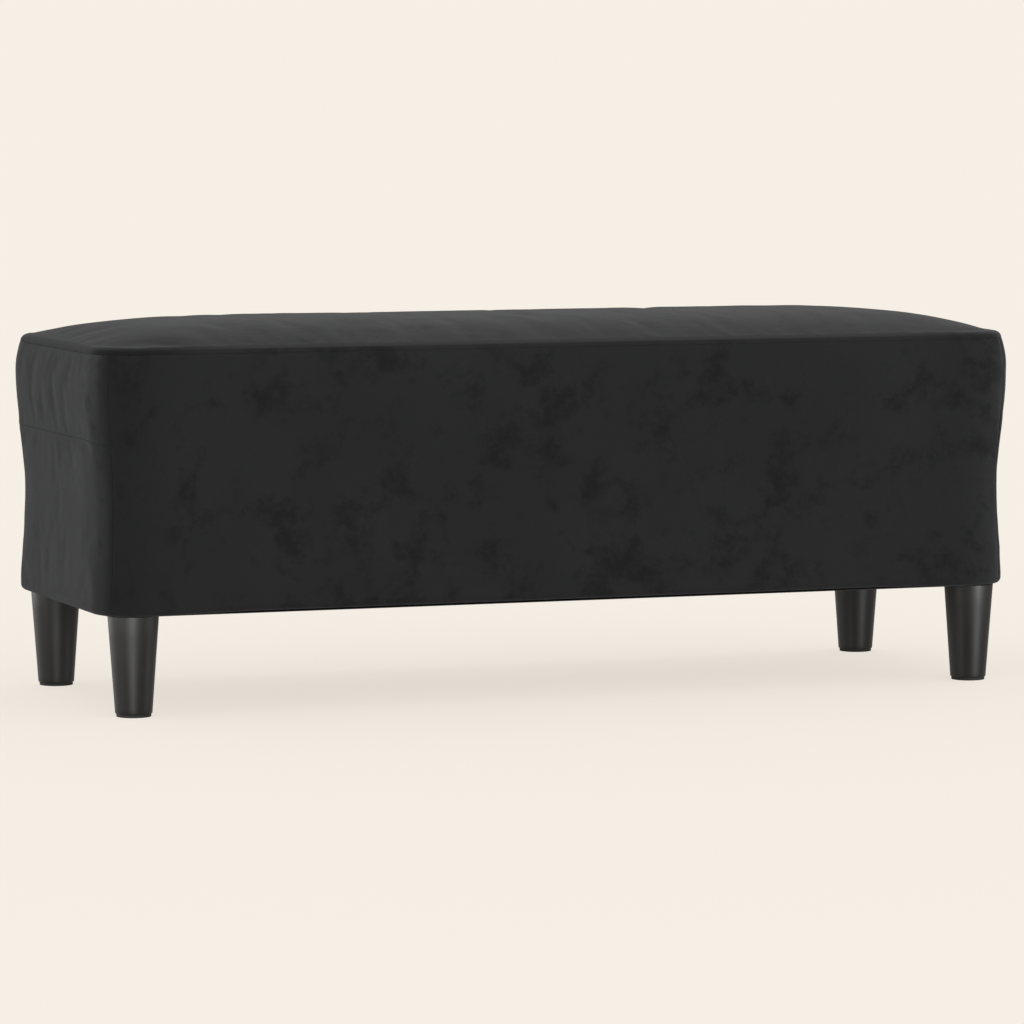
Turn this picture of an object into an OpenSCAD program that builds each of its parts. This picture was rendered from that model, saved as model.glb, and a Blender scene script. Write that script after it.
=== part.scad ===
// Upholstered box bench for the foot of a bed: a dowelled timber box on four tapered moulded legs,
// with a foam seat under a sewn pile-cloth cover. Millimetres. The origin is on the floor under the
// middle of the bench, +X runs along the length, the front faces -Y and +Z is up.

/* [Body] */
// Length of the body at its hem, end to end
body_l = 1000; // [760:10:1300]
// Depth of the body at its hem, front to back
body_d = 350; // [310:5:450]
// Height from the underside up to the seam round the seat
body_h = 260; // [245:1:320]
// Height from the underside to the top of the seat deck, where the seam across each end runs
deck_h = 174; // [150:1:200]
// Radius of the upright corners seen from above
corner_r = 45; // [36:1:54]

/* [Wall shape] */
// How far the walls draw in at the waist
waist_in = 4; // [0:0.5:6]
// Height of the waist above the underside
waist_h = 108; // [80:1:140]
// How far the walls swell out round the seat foam
swell_out = 4; // [1:0.5:10]
// Distance of the fullest line below the top seam
swell_below = 29; // [15:1:45]
// How far the walls tuck in again from the fullest line up to the seam
seam_tuck = 5; // [0:0.5:6]

/* [Seat crown] */
// Rise of the middle of the seat above its soft edge
crown_rise = 23; // [8:1:30]
// Radius of the soft edge above the top seam
edge_r = 6; // [3:0.5:8]
// Power of the crown's curve along the length, where a higher power is flatter
crown_power_l = 9.6; // [4:0.1:14]
// Power of the crown's curve across the depth
crown_power_d = 3.1; // [2:0.1:6]
// Plan radius that the crown keeps at its inner corners
crown_corner_r = 22; // [12:1:30]
// Half width of the level strip along the middle of the seat
crown_core = 45; // [30:1:60]

/* [Cover] */
// Thickness of the cover cloth
cloth_t = 1.4; // [0.8:0.1:2]
// Outer radius of the fold along the bottom edge
hem_r = 6; // [4:0.5:9]
// How far the cloth turns in under the body
hem_turn = 30; // [26:1:34]
// Thickness of the dust cover
dust_t = 0.6; // [0.3:0.1:1]
// Distance of the dust cover's edge in from the body's edge
dust_in = 9; // [7:0.5:14]
// Clearance between soft layers
soft_gap = 0.3; // [0.2:0.05:0.5]
// Thickness of the wadding over the seat foam
wadding_t = 10; // [5:1:15]

/* [Timber frame] */
// Distance of the timber's outer faces in from the body's faces
frame_in = 20; // [16:0.5:22]
// Thickness of the rails
rail_t = 20; // [17:1:24]
// Height of the rails
rail_h = 40; // [34:1:50]
// Width of the cross rails and the middle posts
cross_w = 45; // [36:1:60]
// Distance of each seat cross rail from the middle of the bench
cross_at = 160; // [130:5:200]
// Side of the corner blocks
block_w = 50; // [44:1:60]
// Side of the corner posts
post_w = 30; // [28:1:40]
// Thickness of the hardboard panels
panel_t = 4; // [3:0.5:5]
// Thickness of the plywood seat deck
deck_t = 12; // [9:1:18]

/* [Legs] */
// Height of the body's underside above the floor
leg_h = 102; // [70:1:160]
// Diameter of a leg at its foot
leg_foot_d = 37.5; // [32:0.5:44]
// Diameter of a leg at its top
leg_top_d = 51.6; // [46:0.2:54]
// Distance of a leg's centre in from the end of the body
leg_in_l = 40; // [36:1:46]
// Distance of a leg's centre in from the front or back of the body
leg_in_d = 30; // [28:1:36]
// Wall of a moulded leg
leg_wall = 3; // [2:0.5:4]
// Floor of a moulded leg
leg_floor = 4; // [3:0.5:6]
// Diameter of the boss inside a leg
boss_d = 18; // [14:1:22]
// Thickness of the ribs between boss and wall
rib_t = 2.5; // [1.5:0.5:4]
// Chamfer on the rims of a leg
leg_chamfer = 1; // [0.5:0.25:2]
// Thickness of the glide pad under a leg
glide_t = 3; // [2:0.5:5]
// Distance of the glide pad's edge in from the foot's edge
glide_in = 1.25; // [0.5:0.25:3]
// Diameter of the peg that holds a glide
peg_d = 6; // [4:0.5:8]
// Length of the peg that holds a glide
peg_l = 8; // [5:1:12]

/* [Leg fixing] */
// Diameter of the leg studs
stud_d = 8; // [6:1:10]
// Length of stud held in the leg's boss
stud_in_leg = 30; // [20:1:40]
// Length of stud above the top of the leg
stud_up = 20; // [16:1:24]
// Outer diameter of the threaded inserts
insert_d = 12; // [11:0.5:13]
// Length of the threaded inserts
insert_l = 15; // [12:1:18]
// Diameter of the insert's flange
flange_d = 16; // [14:0.5:18]
// Thickness of the insert's flange
flange_t = 1.5; // [1:0.25:2.5]
// Room round the stud where it passes through cloth
stud_room = 0.5; // [0.2:0.1:1]

/* [Fasteners] */
// Diameter of the dowels
dowel_d = 8; // [6:1:9]
// Length of the dowels
dowel_l = 30; // [24:1:34]
// Distance of paired dowels from the middle of their joint
dowel_off = 10; // [8:0.5:12]
// Shank diameter of the deck screws
screw_d = 4; // [3:0.5:5]
// Length of the deck screws
screw_l = 35; // [28:1:38]
// Head diameter of the deck screws
screw_head_d = 8; // [7:0.5:9]
// Screws along each long side of the deck
screws_long = 6; // [4:2:8]
// Width of a staple over its legs
staple_w = 10; // [8:0.5:12]
// Width of the staple wire
wire_w = 1.2; // [0.8:0.1:1.4]
// Thickness of the staple wire
wire_t = 0.6; // [0.4:0.1:0.8]
// Length of the staple legs
staple_l = 12; // [9:0.5:14]
// Distance of the panel staples below a rail's top edge
staple_row = 7; // [5:0.5:8]
// Distance of the hem staples in from the body's edge
hem_staple_in = 25; // [23:0.5:26]
// Staples in each row along a long panel
panel_staples_long = 8; // [4:2:10]
// Staples along each long side of the hem
hem_staples_long = 10; // [6:2:14]
// Staples in each row along a short side
staples_short = 3; // [2:1:3]
// Distance that screws and staples keep from the joints at the ends of a rail
joint_room = 30; // [24:1:36]

/* [Hidden] */

cloth_color = "#2b2b2d";
leg_color = "#232325";
wood_color = "#c9a477";
board_color = "#8a6a48";
foam_color = "#e8dcae";
fibre_color = "#f2f2ee";
steel_color = "#b9bcc0";
glide_color = "#151516";

$fn = 64;
eps = 0.01;

// Levels above the floor
timber_z = leg_h + cloth_t;
base_top_z = timber_z + rail_h;
deck_top_z = leg_h + deck_h;
deck_z = deck_top_z - deck_t;
top_rail_z = deck_z - rail_h;
seam_z = leg_h + body_h;
leg_top_z = leg_h - dust_t;

// Outer faces of the timber, and middle lines of the rails
frame_x = body_l / 2 - frame_in;
frame_y = body_d / 2 - frame_in;
rail_x = frame_x - rail_t / 2;
rail_y = frame_y - rail_t / 2;

// Straight runs of the walls between the rounded corners
run_x = body_l - 2 * corner_r;
run_y = body_d - 2 * corner_r;

// Inner face of the padding, and the chamfer that keeps the timber's corners inside it
pad_in = frame_in - panel_t;
pad_h = hem_r + soft_gap;
timber_reach = corner_r - frame_in;
corner_reach = corner_r - pad_in - soft_gap;
timber_chamfer = timber_reach - sqrt(corner_reach * corner_reach - timber_reach * timber_reach);

leg_x = body_l / 2 - leg_in_l;
leg_y = body_d / 2 - leg_in_d;
swell_h = body_h - swell_below;

// Sampling of the swept and skinned soft shapes
lower_steps = 9;
upper_steps = 7;
hem_steps = 5;
corner_steps = 6;
long_steps = 8;
short_steps = 4;
edge_steps = 3;
crown_steps = 7;

function ease(t) = let (c = min(1, max(0, t))) c * c * (3 - 2 * c);
function backwards(list) = [for (i = [len(list) - 1 : -1 : 0]) list[i]];
function spread(count, span) = [for (i = [0 : count - 1]) span * (i / (count - 1) - 0.5)];

// How far the wall stands out from the body's nominal face at height h above the underside
function wall_out(h) =
  h < waist_h ? -waist_in * ease((h - hem_r) / (waist_h - hem_r))
  : h < swell_h ? -waist_in + (swell_out + waist_in) * ease((h - waist_h) / (swell_h - waist_h))
  : swell_out - seam_tuck * pow((h - swell_h) / swell_below, 2);

// The wall's line between two heights, moved inwards by depth
function wall_line(h0, h1, steps, depth) =
  [for (i = [0 : steps]) let (h = h0 + (h1 - h0) * i / steps) [wall_out(h) - depth, h]];
function lower_line(h0, depth) = wall_line(h0, deck_h, lower_steps, depth);
function upper_line(depth) = wall_line(deck_h, body_h, upper_steps, depth);

// The fold along the bottom edge, from the turned-in end of the cloth out to the wall
function hem_line(depth) = concat(
  [[-hem_turn, depth]],
  [for (i = [0 : hem_steps])
    let (a = -90 + 90 * i / hem_steps)
    [-hem_r + (hem_r - depth) * cos(a), hem_r + (hem_r - depth) * sin(a)]]
);

module hemmed_profile(full) {
  outer = concat(hem_line(0), lower_line(hem_r, 0), full ? upper_line(0) : []);
  inner = concat(hem_line(cloth_t), lower_line(hem_r, cloth_t), full ? upper_line(cloth_t) : []);
  polygon(concat(outer, backwards(inner)));
}

module upper_profile() {
  polygon(concat(upper_line(0), backwards(upper_line(cloth_t))));
}

module padding_profile() {
  polygon(concat(
    [[-pad_in, pad_h]],
    lower_line(pad_h, cloth_t + soft_gap),
    [[-pad_in, deck_h]]
  ));
}

// Sweeps a profile along the front wall and half way round the corner at each end of it
module wall_band(run, half_depth) {
  translate([run / 2, -half_depth, leg_h]) rotate([90, 0, -90]) linear_extrude(run) children();
  for (flip = [0, 1]) {
    mirror([flip, 0, 0]) translate([run / 2, corner_r - half_depth, leg_h])
      rotate([0, 0, 270])
      rotate_extrude(angle = 45) translate([corner_r, 0]) children();
  }
}

module front_band() {
  wall_band(run_x, body_d / 2) children();
}

module left_band() {
  rotate([0, 0, -90]) wall_band(run_y, body_l / 2) children();
}

module to_rear() {
  mirror([0, 1, 0]) children();
}

module to_right() {
  mirror([1, 0, 0]) children();
}

// Places what is drawn at the front left corner at the corner named by its two signs
module at_corner(right, rear) {
  mirror([right ? 1 : 0, 0, 0]) mirror([0, rear ? 1 : 0, 0]) children();
}

module at_all_corners() {
  for (right = [false, true])
    for (rear = [false, true])
      at_corner(right, rear) children();
}

// Plan of a timber square in the frame's front left corner, with its outer arris taken off
module corner_plan(side) {
  polygon([
    [timber_chamfer - frame_x, -frame_y],
    [side - frame_x, -frame_y],
    [side - frame_x, side - frame_y],
    [-frame_x, side - frame_y],
    [-frame_x, timber_chamfer - frame_y]
  ]);
}

module deck_plan() {
  polygon([
    [timber_chamfer - frame_x, -frame_y], [frame_x - timber_chamfer, -frame_y],
    [frame_x, timber_chamfer - frame_y], [frame_x, frame_y - timber_chamfer],
    [frame_x - timber_chamfer, frame_y], [timber_chamfer - frame_x, frame_y],
    [-frame_x, frame_y - timber_chamfer], [-frame_x, timber_chamfer - frame_y]
  ]);
}

// A board given by its middle in plan, its underside and its size
module board(x, y, z, size) {
  translate([x - size[0] / 2, y - size[1] / 2, z]) cube(size);
}

// Fasteners, also used to cut their own holes
module dowel_x() {
  rotate([0, 90, 0]) cylinder(d = dowel_d, h = dowel_l, center = true);
}

module dowel_y() {
  rotate([90, 0, 0]) cylinder(d = dowel_d, h = dowel_l, center = true);
}

module dowel_z() {
  cylinder(d = dowel_d, h = dowel_l, center = true);
}

module rail_end_dowels(z, side) {
  at_all_corners() {
    for (off = [-dowel_off, dowel_off]) {
      translate([side - frame_x, -rail_y, z + rail_h / 2 + off]) dowel_x();
      translate([-rail_x, side - frame_y, z + rail_h / 2 + off]) dowel_y();
    }
  }
}

module cross_dowels(x, z) {
  for (off = [-dowel_off, dowel_off])
    for (side = [-1, 1])
      translate([x + off, side * (frame_y - rail_t), z]) dowel_y();
}

module all_dowels() {
  rail_end_dowels(timber_z, block_w);
  rail_end_dowels(top_rail_z, post_w);
  at_all_corners() translate([post_w / 2 - frame_x, post_w / 2 - frame_y, base_top_z]) dowel_z();
  for (side = [-1, 1])
    for (off = [-dowel_off, dowel_off]) {
      translate([off, side * rail_y, base_top_z]) dowel_z();
      translate([off, side * rail_y, top_rail_z]) dowel_z();
    }
  cross_dowels(0, timber_z + dowel_d + dowel_d / 2);
  for (side = [-1, 1])
    cross_dowels(side * cross_at, top_rail_z + rail_h / 2);
}

module screw() {
  rotate_extrude() polygon([
    [0, 0], [screw_head_d / 2, 0], [screw_d / 2, -(screw_head_d - screw_d) / 2],
    [screw_d / 2, -screw_l + screw_d], [0, -screw_l]
  ]);
}

module all_deck_screws() {
  for (x = spread(screws_long, 2 * (frame_x - post_w - joint_room)))
    for (side = [-1, 1])
      translate([x, side * rail_y, deck_top_z]) screw();
  for (side = [-1, 1]) {
    for (y = spread(2, frame_y - post_w))
      translate([side * rail_x, y, deck_top_z]) screw();
    translate([side * cross_at, 0, deck_top_z]) screw();
  }
}

// A staple whose back lies on the plane z = 0 with its legs below
module staple() {
  translate([-staple_w / 2, -wire_w / 2, 0]) cube([staple_w, wire_w, wire_t]);
  for (side = [0, 1])
    translate([-staple_w / 2 + side * (staple_w - wire_t), -wire_w / 2, -staple_l])
      cube([wire_t, wire_w, staple_l + wire_t]);
}

module all_panel_staples() {
  for (z = [base_top_z - staple_row, deck_z - staple_row]) {
    for (side = [0, 180])
      rotate([0, 0, side]) {
        for (x = spread(panel_staples_long, 2 * (frame_x - block_w - joint_room)))
          translate([x, wire_t - frame_y - panel_t, z]) rotate([90, 0, 0]) staple();
        for (y = spread(staples_short, 2 * (frame_y - block_w - joint_room)))
          translate([wire_t - frame_x - panel_t, y, z]) rotate([90, 0, -90]) staple();
      }
  }
}

module all_hem_staples() {
  for (side = [-1, 1]) {
    for (x = spread(hem_staples_long, 2 * (frame_x - block_w - joint_room)))
      translate([x, side * (body_d / 2 - hem_staple_in), leg_top_z]) rotate([180, 0, 0]) staple();
    for (y = spread(staples_short, 2 * (frame_y - block_w - joint_room)))
      translate([side * (body_l / 2 - hem_staple_in), y, leg_top_z]) rotate([180, 0, 90]) staple();
  }
}

module stud() {
  translate([-leg_x, -leg_y, leg_top_z - stud_in_leg]) cylinder(d = stud_d, h = stud_in_leg + stud_up);
}

module stud_hole() {
  translate([-leg_x, -leg_y, leg_top_z - eps])
    cylinder(d = stud_d + 2 * stud_room, h = dust_t + cloth_t + 2 * eps);
}

module insert_outline() {
  translate([-leg_x, -leg_y, timber_z]) {
    cylinder(d = flange_d, h = flange_t);
    cylinder(d = insert_d, h = insert_l);
  }
}

module threaded_insert() {
  difference() {
    insert_outline();
    stud();
  }
}

module glide() {
  translate([-leg_x, -leg_y, 0]) {
    cylinder(d = leg_foot_d - 2 * glide_in, h = glide_t);
    translate([0, 0, glide_t]) cylinder(d = peg_d, h = peg_l);
  }
}

// One moulded leg, hollow from the top, with a boss for the stud and four ribs
module leg() {
  foot_r = leg_foot_d / 2;
  top_r = leg_top_d / 2;
  cavity_h = leg_top_z - glide_t - leg_floor;
  color(leg_color) difference() {
    translate([-leg_x, -leg_y, 0]) rotate_extrude() polygon([
      [0, glide_t], [foot_r - leg_chamfer, glide_t], [foot_r, glide_t + leg_chamfer],
      [top_r, leg_top_z - leg_chamfer], [top_r - leg_chamfer, leg_top_z], [0, leg_top_z]
    ]);
    translate([-leg_x, -leg_y, glide_t + leg_floor]) difference() {
      cylinder(r1 = foot_r - leg_wall, r2 = top_r - leg_wall, h = cavity_h + eps);
      cylinder(d = boss_d, h = cavity_h + 2 * eps);
      for (turn = [45, 135])
        rotate([0, 0, turn]) translate([-top_r, -rib_t / 2, 0]) cube([2 * top_r, rib_t, cavity_h + 2 * eps]);
    }
    stud();
    glide();
  }
}

module corner_block() {
  color(wood_color) difference() {
    translate([0, 0, timber_z]) linear_extrude(rail_h) corner_plan(block_w);
    all_dowels();
    insert_outline();
    stud();
  }
}

module corner_post() {
  color(wood_color) difference() {
    translate([0, 0, base_top_z]) linear_extrude(deck_z - base_top_z) corner_plan(post_w);
    all_dowels();
  }
}

module base_rail_long() {
  color(wood_color) difference() {
    board(0, -rail_y, timber_z, [2 * (frame_x - block_w), rail_t, rail_h]);
    all_dowels();
    all_panel_staples();
    all_hem_staples();
  }
}

module base_rail_short() {
  color(wood_color) difference() {
    board(-rail_x, 0, timber_z, [rail_t, 2 * (frame_y - block_w), rail_h]);
    all_dowels();
    all_panel_staples();
    all_hem_staples();
  }
}

module base_cross() {
  color(wood_color) difference() {
    board(0, 0, timber_z, [cross_w, 2 * (frame_y - rail_t), rail_h]);
    all_dowels();
  }
}

module mid_post() {
  color(wood_color) difference() {
    board(0, -rail_y, base_top_z, [cross_w, rail_t, top_rail_z - base_top_z]);
    all_dowels();
  }
}

module top_rail_long() {
  color(wood_color) difference() {
    board(0, -rail_y, top_rail_z, [2 * (frame_x - post_w), rail_t, rail_h]);
    all_dowels();
    all_deck_screws();
    all_panel_staples();
  }
}

module top_rail_short() {
  color(wood_color) difference() {
    board(-rail_x, 0, top_rail_z, [rail_t, 2 * (frame_y - post_w), rail_h]);
    all_dowels();
    all_deck_screws();
    all_panel_staples();
  }
}

module top_cross() {
  color(wood_color) difference() {
    board(-cross_at, 0, top_rail_z, [cross_w, 2 * (frame_y - rail_t), rail_h]);
    all_dowels();
    all_deck_screws();
  }
}

module long_panel() {
  color(board_color) difference() {
    board(0, -frame_y - panel_t / 2, timber_z, [run_x, panel_t, deck_top_z - timber_z]);
    all_panel_staples();
  }
}

module short_panel() {
  color(board_color) difference() {
    board(-frame_x - panel_t / 2, 0, timber_z, [panel_t, run_y, deck_top_z - timber_z]);
    all_panel_staples();
  }
}

module seat_deck() {
  color(wood_color) difference() {
    translate([0, 0, deck_z]) linear_extrude(deck_t) deck_plan();
    all_deck_screws();
  }
}

module padding_long() {
  color(foam_color) front_band() padding_profile();
}

module padding_short() {
  color(foam_color) left_band() padding_profile();
}

module cover_long() {
  color(cloth_color) difference() {
    front_band() hemmed_profile(true);
    at_all_corners() stud_hole();
    all_hem_staples();
  }
}

module cover_end_lower() {
  color(cloth_color) difference() {
    left_band() hemmed_profile(false);
    at_all_corners() stud_hole();
    all_hem_staples();
  }
}

module cover_end_upper() {
  color(cloth_color) left_band() upper_profile();
}

module dust_cover() {
  half_l = body_l / 2 - dust_in;
  half_d = body_d / 2 - dust_in;
  r = corner_r - dust_in;
  color("#1c1c1e") difference() {
    translate([0, 0, leg_top_z]) linear_extrude(dust_t) {
      square([2 * half_l, 2 * (half_d - r)], center = true);
      square([2 * (half_l - r), 2 * half_d], center = true);
      for (x = [r - half_l, half_l - r])
        for (y = [r - half_d, half_d - r])
          translate([x, y]) circle(r = r);
    }
    at_all_corners() stud_hole();
    all_hem_staples();
  }
}

// Stations round a rounded rectangle of half sides a and b, anticlockwise seen from above
function corner_arc(x, y, r, from) =
  [for (i = [0 : corner_steps]) let (t = from + 90 * i / corner_steps) [x + r * cos(t), y + r * sin(t)]];
function side_points(p, q, steps) = [for (i = [1 : steps - 1]) p + (q - p) * i / steps];
function outline(a, b, r) = concat(
  corner_arc(a - r, b - r, r, 0),
  side_points([a - r, b], [r - a, b], long_steps),
  corner_arc(r - a, b - r, r, 90),
  side_points([-a, b - r], [-a, r - b], short_steps),
  corner_arc(r - a, r - b, r, 180),
  side_points([r - a, -b], [a - r, -b], long_steps),
  corner_arc(a - r, r - b, r, 270),
  side_points([a, r - b], [a, b - r], short_steps)
);
stations = 4 * (corner_steps + 1) + 2 * (long_steps - 1) + 2 * (short_steps - 1);
half_stations = 2 * (corner_steps + 1) + long_steps - 1;

// Half sides of the seat at the top seam
seat_a = body_l / 2 + wall_out(body_h);
seat_b = body_d / 2 + wall_out(body_h);

function crown(x, y) = crown_rise
  * (1 - pow(min(1, abs(x) / seat_a), crown_power_l))
  * (1 - pow(min(1, abs(y) / seat_b), crown_power_d));

// A ring of the seat's surface, inset from the seam, at a rise that takes up a share of the crown
function seat_ring(inset, rise, share) = [
  for (p = outline(seat_a - inset, seat_b - inset, max(corner_r + wall_out(body_h) - inset, crown_corner_r)))
    [p[0], p[1], seam_z + rise + share * crown(p[0], p[1])]
];

// Rings over the soft edge, and from there to the middle strip, at a depth below the outer surface
function crown_inset(k) = edge_r + (seat_b - crown_core - edge_r) * pow(k / crown_steps, 2);
function edge_rings(depth) = [
  for (k = [0 : edge_steps - 1])
    let (a = 90 * k / edge_steps)
    seat_ring(edge_r - (edge_r - depth) * cos(a), (edge_r - depth) * sin(a), sin(a))
];
function crown_rings(depth) = [
  for (k = [0 : crown_steps]) seat_ring(crown_inset(k), edge_r - depth, 1)
];

// Depth of the foam's top below the seat's outer surface
foam_depth = cloth_t + 2 * soft_gap + wadding_t;

// Rings of the foam's side, a little inside the cloth
function side_rings() = [
  for (p = upper_line(cloth_t + soft_gap))
    if (p[1] < body_h - foam_depth)
    [for (q = outline(body_l / 2 + p[0], body_d / 2 + p[0], corner_r + p[0])) [q[0], q[1], leg_h + p[1]]]
];

// Faces of the band from ring k to the next one. Both sides of a layer are split along the same
// diagonals, so that layers lie on each other without crossing.
function band_faces(k, inside) = [
  for (i = [0 : stations - 1])
    let (j = (i + 1) % stations, p = k * stations, q = p + stations)
    each inside
      ? [[p + i, q + i, p + j], [q + i, q + j, p + j]]
      : [[p + i, q + i, q + j], [p + i, q + j, p + j]]
];
function facing_station(i) = 2 * half_stations + short_steps - 2 - i;
function cap_triangles() = concat(
  [for (i = [1 : half_stations - 3])
    each [
      [i, facing_station(i), facing_station(i + 1)],
      [i, facing_station(i + 1), i + 1]
    ]],
  [for (i = [half_stations - 1 : half_stations + short_steps - 1]) [half_stations - 2, i + 1, i]],
  [for (i = [facing_station(1) : stations - 1]) [1, (i + 1) % stations, i]]
);
function cap_faces(k, up) = [
  for (t = cap_triangles())
    let (p = k * stations)
    up ? [p + t[0], p + t[1], p + t[2]] : [p + t[0], p + t[2], p + t[1]]
];

// A closed skin over rings listed from the rim inwards, those of its underside apart from its top's
module skin(under, over) {
  rings = concat(backwards(under), over);
  last = len(rings) - 1;
  polyhedron(
    points = [for (ring = rings) each ring],
    faces = concat(
      cap_faces(0, false),
      [for (k = [0 : last - 1]) each band_faces(k, k < len(under) - 1)],
      cap_faces(last, true)
    )
  );
}

module cover_top() {
  color(cloth_color) skin(
    concat(edge_rings(cloth_t), crown_rings(cloth_t)),
    concat(edge_rings(0), crown_rings(0))
  );
}

module seat_wadding() {
  color(fibre_color) skin(
    crown_rings(cloth_t + soft_gap + wadding_t),
    crown_rings(cloth_t + soft_gap)
  );
}

module seat_foam() {
  color(foam_color) skin(
    [],
    concat(
      side_rings(),
      [seat_ring(cloth_t + soft_gap, edge_r - foam_depth, 0)],
      crown_rings(foam_depth)
    )
  );
}

leg();  // leg_front_left
at_corner(true, false) leg();  // leg_front_right
at_corner(false, true) leg();  // leg_rear_left
at_corner(true, true) leg();  // leg_rear_right
color(glide_color) at_all_corners() glide();  // foot_glides
color(steel_color) at_all_corners() stud();  // leg_studs
color(steel_color) at_all_corners() threaded_insert();  // threaded_inserts
corner_block();  // corner_block_front_left
at_corner(true, false) corner_block();  // corner_block_front_right
at_corner(false, true) corner_block();  // corner_block_rear_left
at_corner(true, true) corner_block();  // corner_block_rear_right
base_rail_long();  // base_rail_front
to_rear() base_rail_long();  // base_rail_rear
base_rail_short();  // base_rail_left
to_right() base_rail_short();  // base_rail_right
base_cross();  // base_cross_rail
corner_post();  // corner_post_front_left
at_corner(true, false) corner_post();  // corner_post_front_right
at_corner(false, true) corner_post();  // corner_post_rear_left
at_corner(true, true) corner_post();  // corner_post_rear_right
mid_post();  // mid_post_front
to_rear() mid_post();  // mid_post_rear
top_rail_long();  // top_rail_front
to_rear() top_rail_long();  // top_rail_rear
top_rail_short();  // top_rail_left
to_right() top_rail_short();  // top_rail_right
top_cross();  // top_cross_rail_left
to_right() top_cross();  // top_cross_rail_right
long_panel();  // front_panel
to_rear() long_panel();  // rear_panel
short_panel();  // left_panel
to_right() short_panel();  // right_panel
seat_deck();
color(wood_color) all_dowels();  // frame_dowels
color(steel_color) all_deck_screws();  // deck_screws
color(steel_color) all_panel_staples();  // panel_staples
color(steel_color) all_hem_staples();  // hem_staples
padding_long();  // padding_front
to_rear() padding_long();  // padding_rear
padding_short();  // padding_left
to_right() padding_short();  // padding_right
seat_foam();
seat_wadding();
cover_top();
cover_long();  // cover_front
to_rear() cover_long();  // cover_rear
cover_end_lower();  // cover_left_lower
cover_end_upper();  // cover_left_upper
to_right() cover_end_lower();  // cover_right_lower
to_right() cover_end_upper();  // cover_right_upper
dust_cover();
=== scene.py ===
"""Dressed model of the upholstered box bench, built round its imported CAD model. Metres throughout."""

import logging
import math
from dataclasses import dataclass, field
from enum import Enum
from itertools import accumulate
from typing import Callable, ClassVar, Optional, Sequence

import bpy
import numpy as np
from mathutils import Matrix, Vector, noise


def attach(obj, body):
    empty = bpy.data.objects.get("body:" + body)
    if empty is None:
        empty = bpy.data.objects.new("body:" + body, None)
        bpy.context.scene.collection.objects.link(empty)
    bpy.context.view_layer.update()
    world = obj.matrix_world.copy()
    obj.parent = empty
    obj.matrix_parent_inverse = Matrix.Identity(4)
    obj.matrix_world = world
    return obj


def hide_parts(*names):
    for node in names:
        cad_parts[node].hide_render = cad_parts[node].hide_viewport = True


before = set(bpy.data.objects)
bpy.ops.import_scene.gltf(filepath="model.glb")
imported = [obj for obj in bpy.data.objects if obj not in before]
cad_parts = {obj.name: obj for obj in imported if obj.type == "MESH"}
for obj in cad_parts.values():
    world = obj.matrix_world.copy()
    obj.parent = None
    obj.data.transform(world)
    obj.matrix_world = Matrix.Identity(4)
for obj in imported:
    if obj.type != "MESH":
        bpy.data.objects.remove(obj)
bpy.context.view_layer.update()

log = logging.getLogger("bench")

MM = 0.001
MERGE = 0.01 * MM
ROOT = "root"
SEWN = "sewn"
# Angles in degrees past which an edge of cloth and an edge of a firm piece stay sharp
SOFT_EDGE = 60.0
HARD_EDGE = 35.0


# ---------------------------------------------------------------- shape of the body


class Side(Enum):
    """The four walls, each by its turn about the upright axis from the front one, in quarter turns."""

    FRONT = 0
    RIGHT = 1
    REAR = 2
    LEFT = 3

    @property
    def is_long(self) -> bool:
        """True for the front and the rear."""
        return self in (Side.FRONT, Side.REAR)

    @property
    def turn(self) -> Matrix:
        """Turn that carries the front wall's directions to this wall's."""
        return Matrix.Rotation(self.value * math.pi / 2, 3, "Z")


class Part(Enum):
    """Part of a wall that one cut panel of the cover takes up."""

    FULL = "full"
    LOWER = "lower"
    UPPER = "upper"


def quarter_turn(steps: int) -> list[float]:
    """Angles from 0 to a quarter turn in equal steps."""
    return [math.pi / 2 * k / steps for k in range(steps + 1)]


def eased(t: float) -> float:
    """Smooth step of t from 0 to 1."""
    t = min(1.0, max(0.0, t))
    return t * t * (3 - 2 * t)


def graded(length: float, fine: float, coarse: float, growth: float = 1.55) -> list[float]:
    """Positions from 0 to length that lie close together at both ends.

    Args:
        length: Distance to cover.
        fine: First step at each end.
        coarse: Step in the middle.
        growth: Ratio of one step to the next while they grow.

    Returns:
        The positions, from 0 to length.
    """
    steps = []
    step = fine
    while step < coarse:
        steps.append(step)
        step *= growth
    middle = length - 2 * sum(steps)
    count = max(1, round(middle / coarse))
    return list(accumulate([*steps, *[middle / count] * count, *reversed(steps)], initial=0.0))


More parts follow.
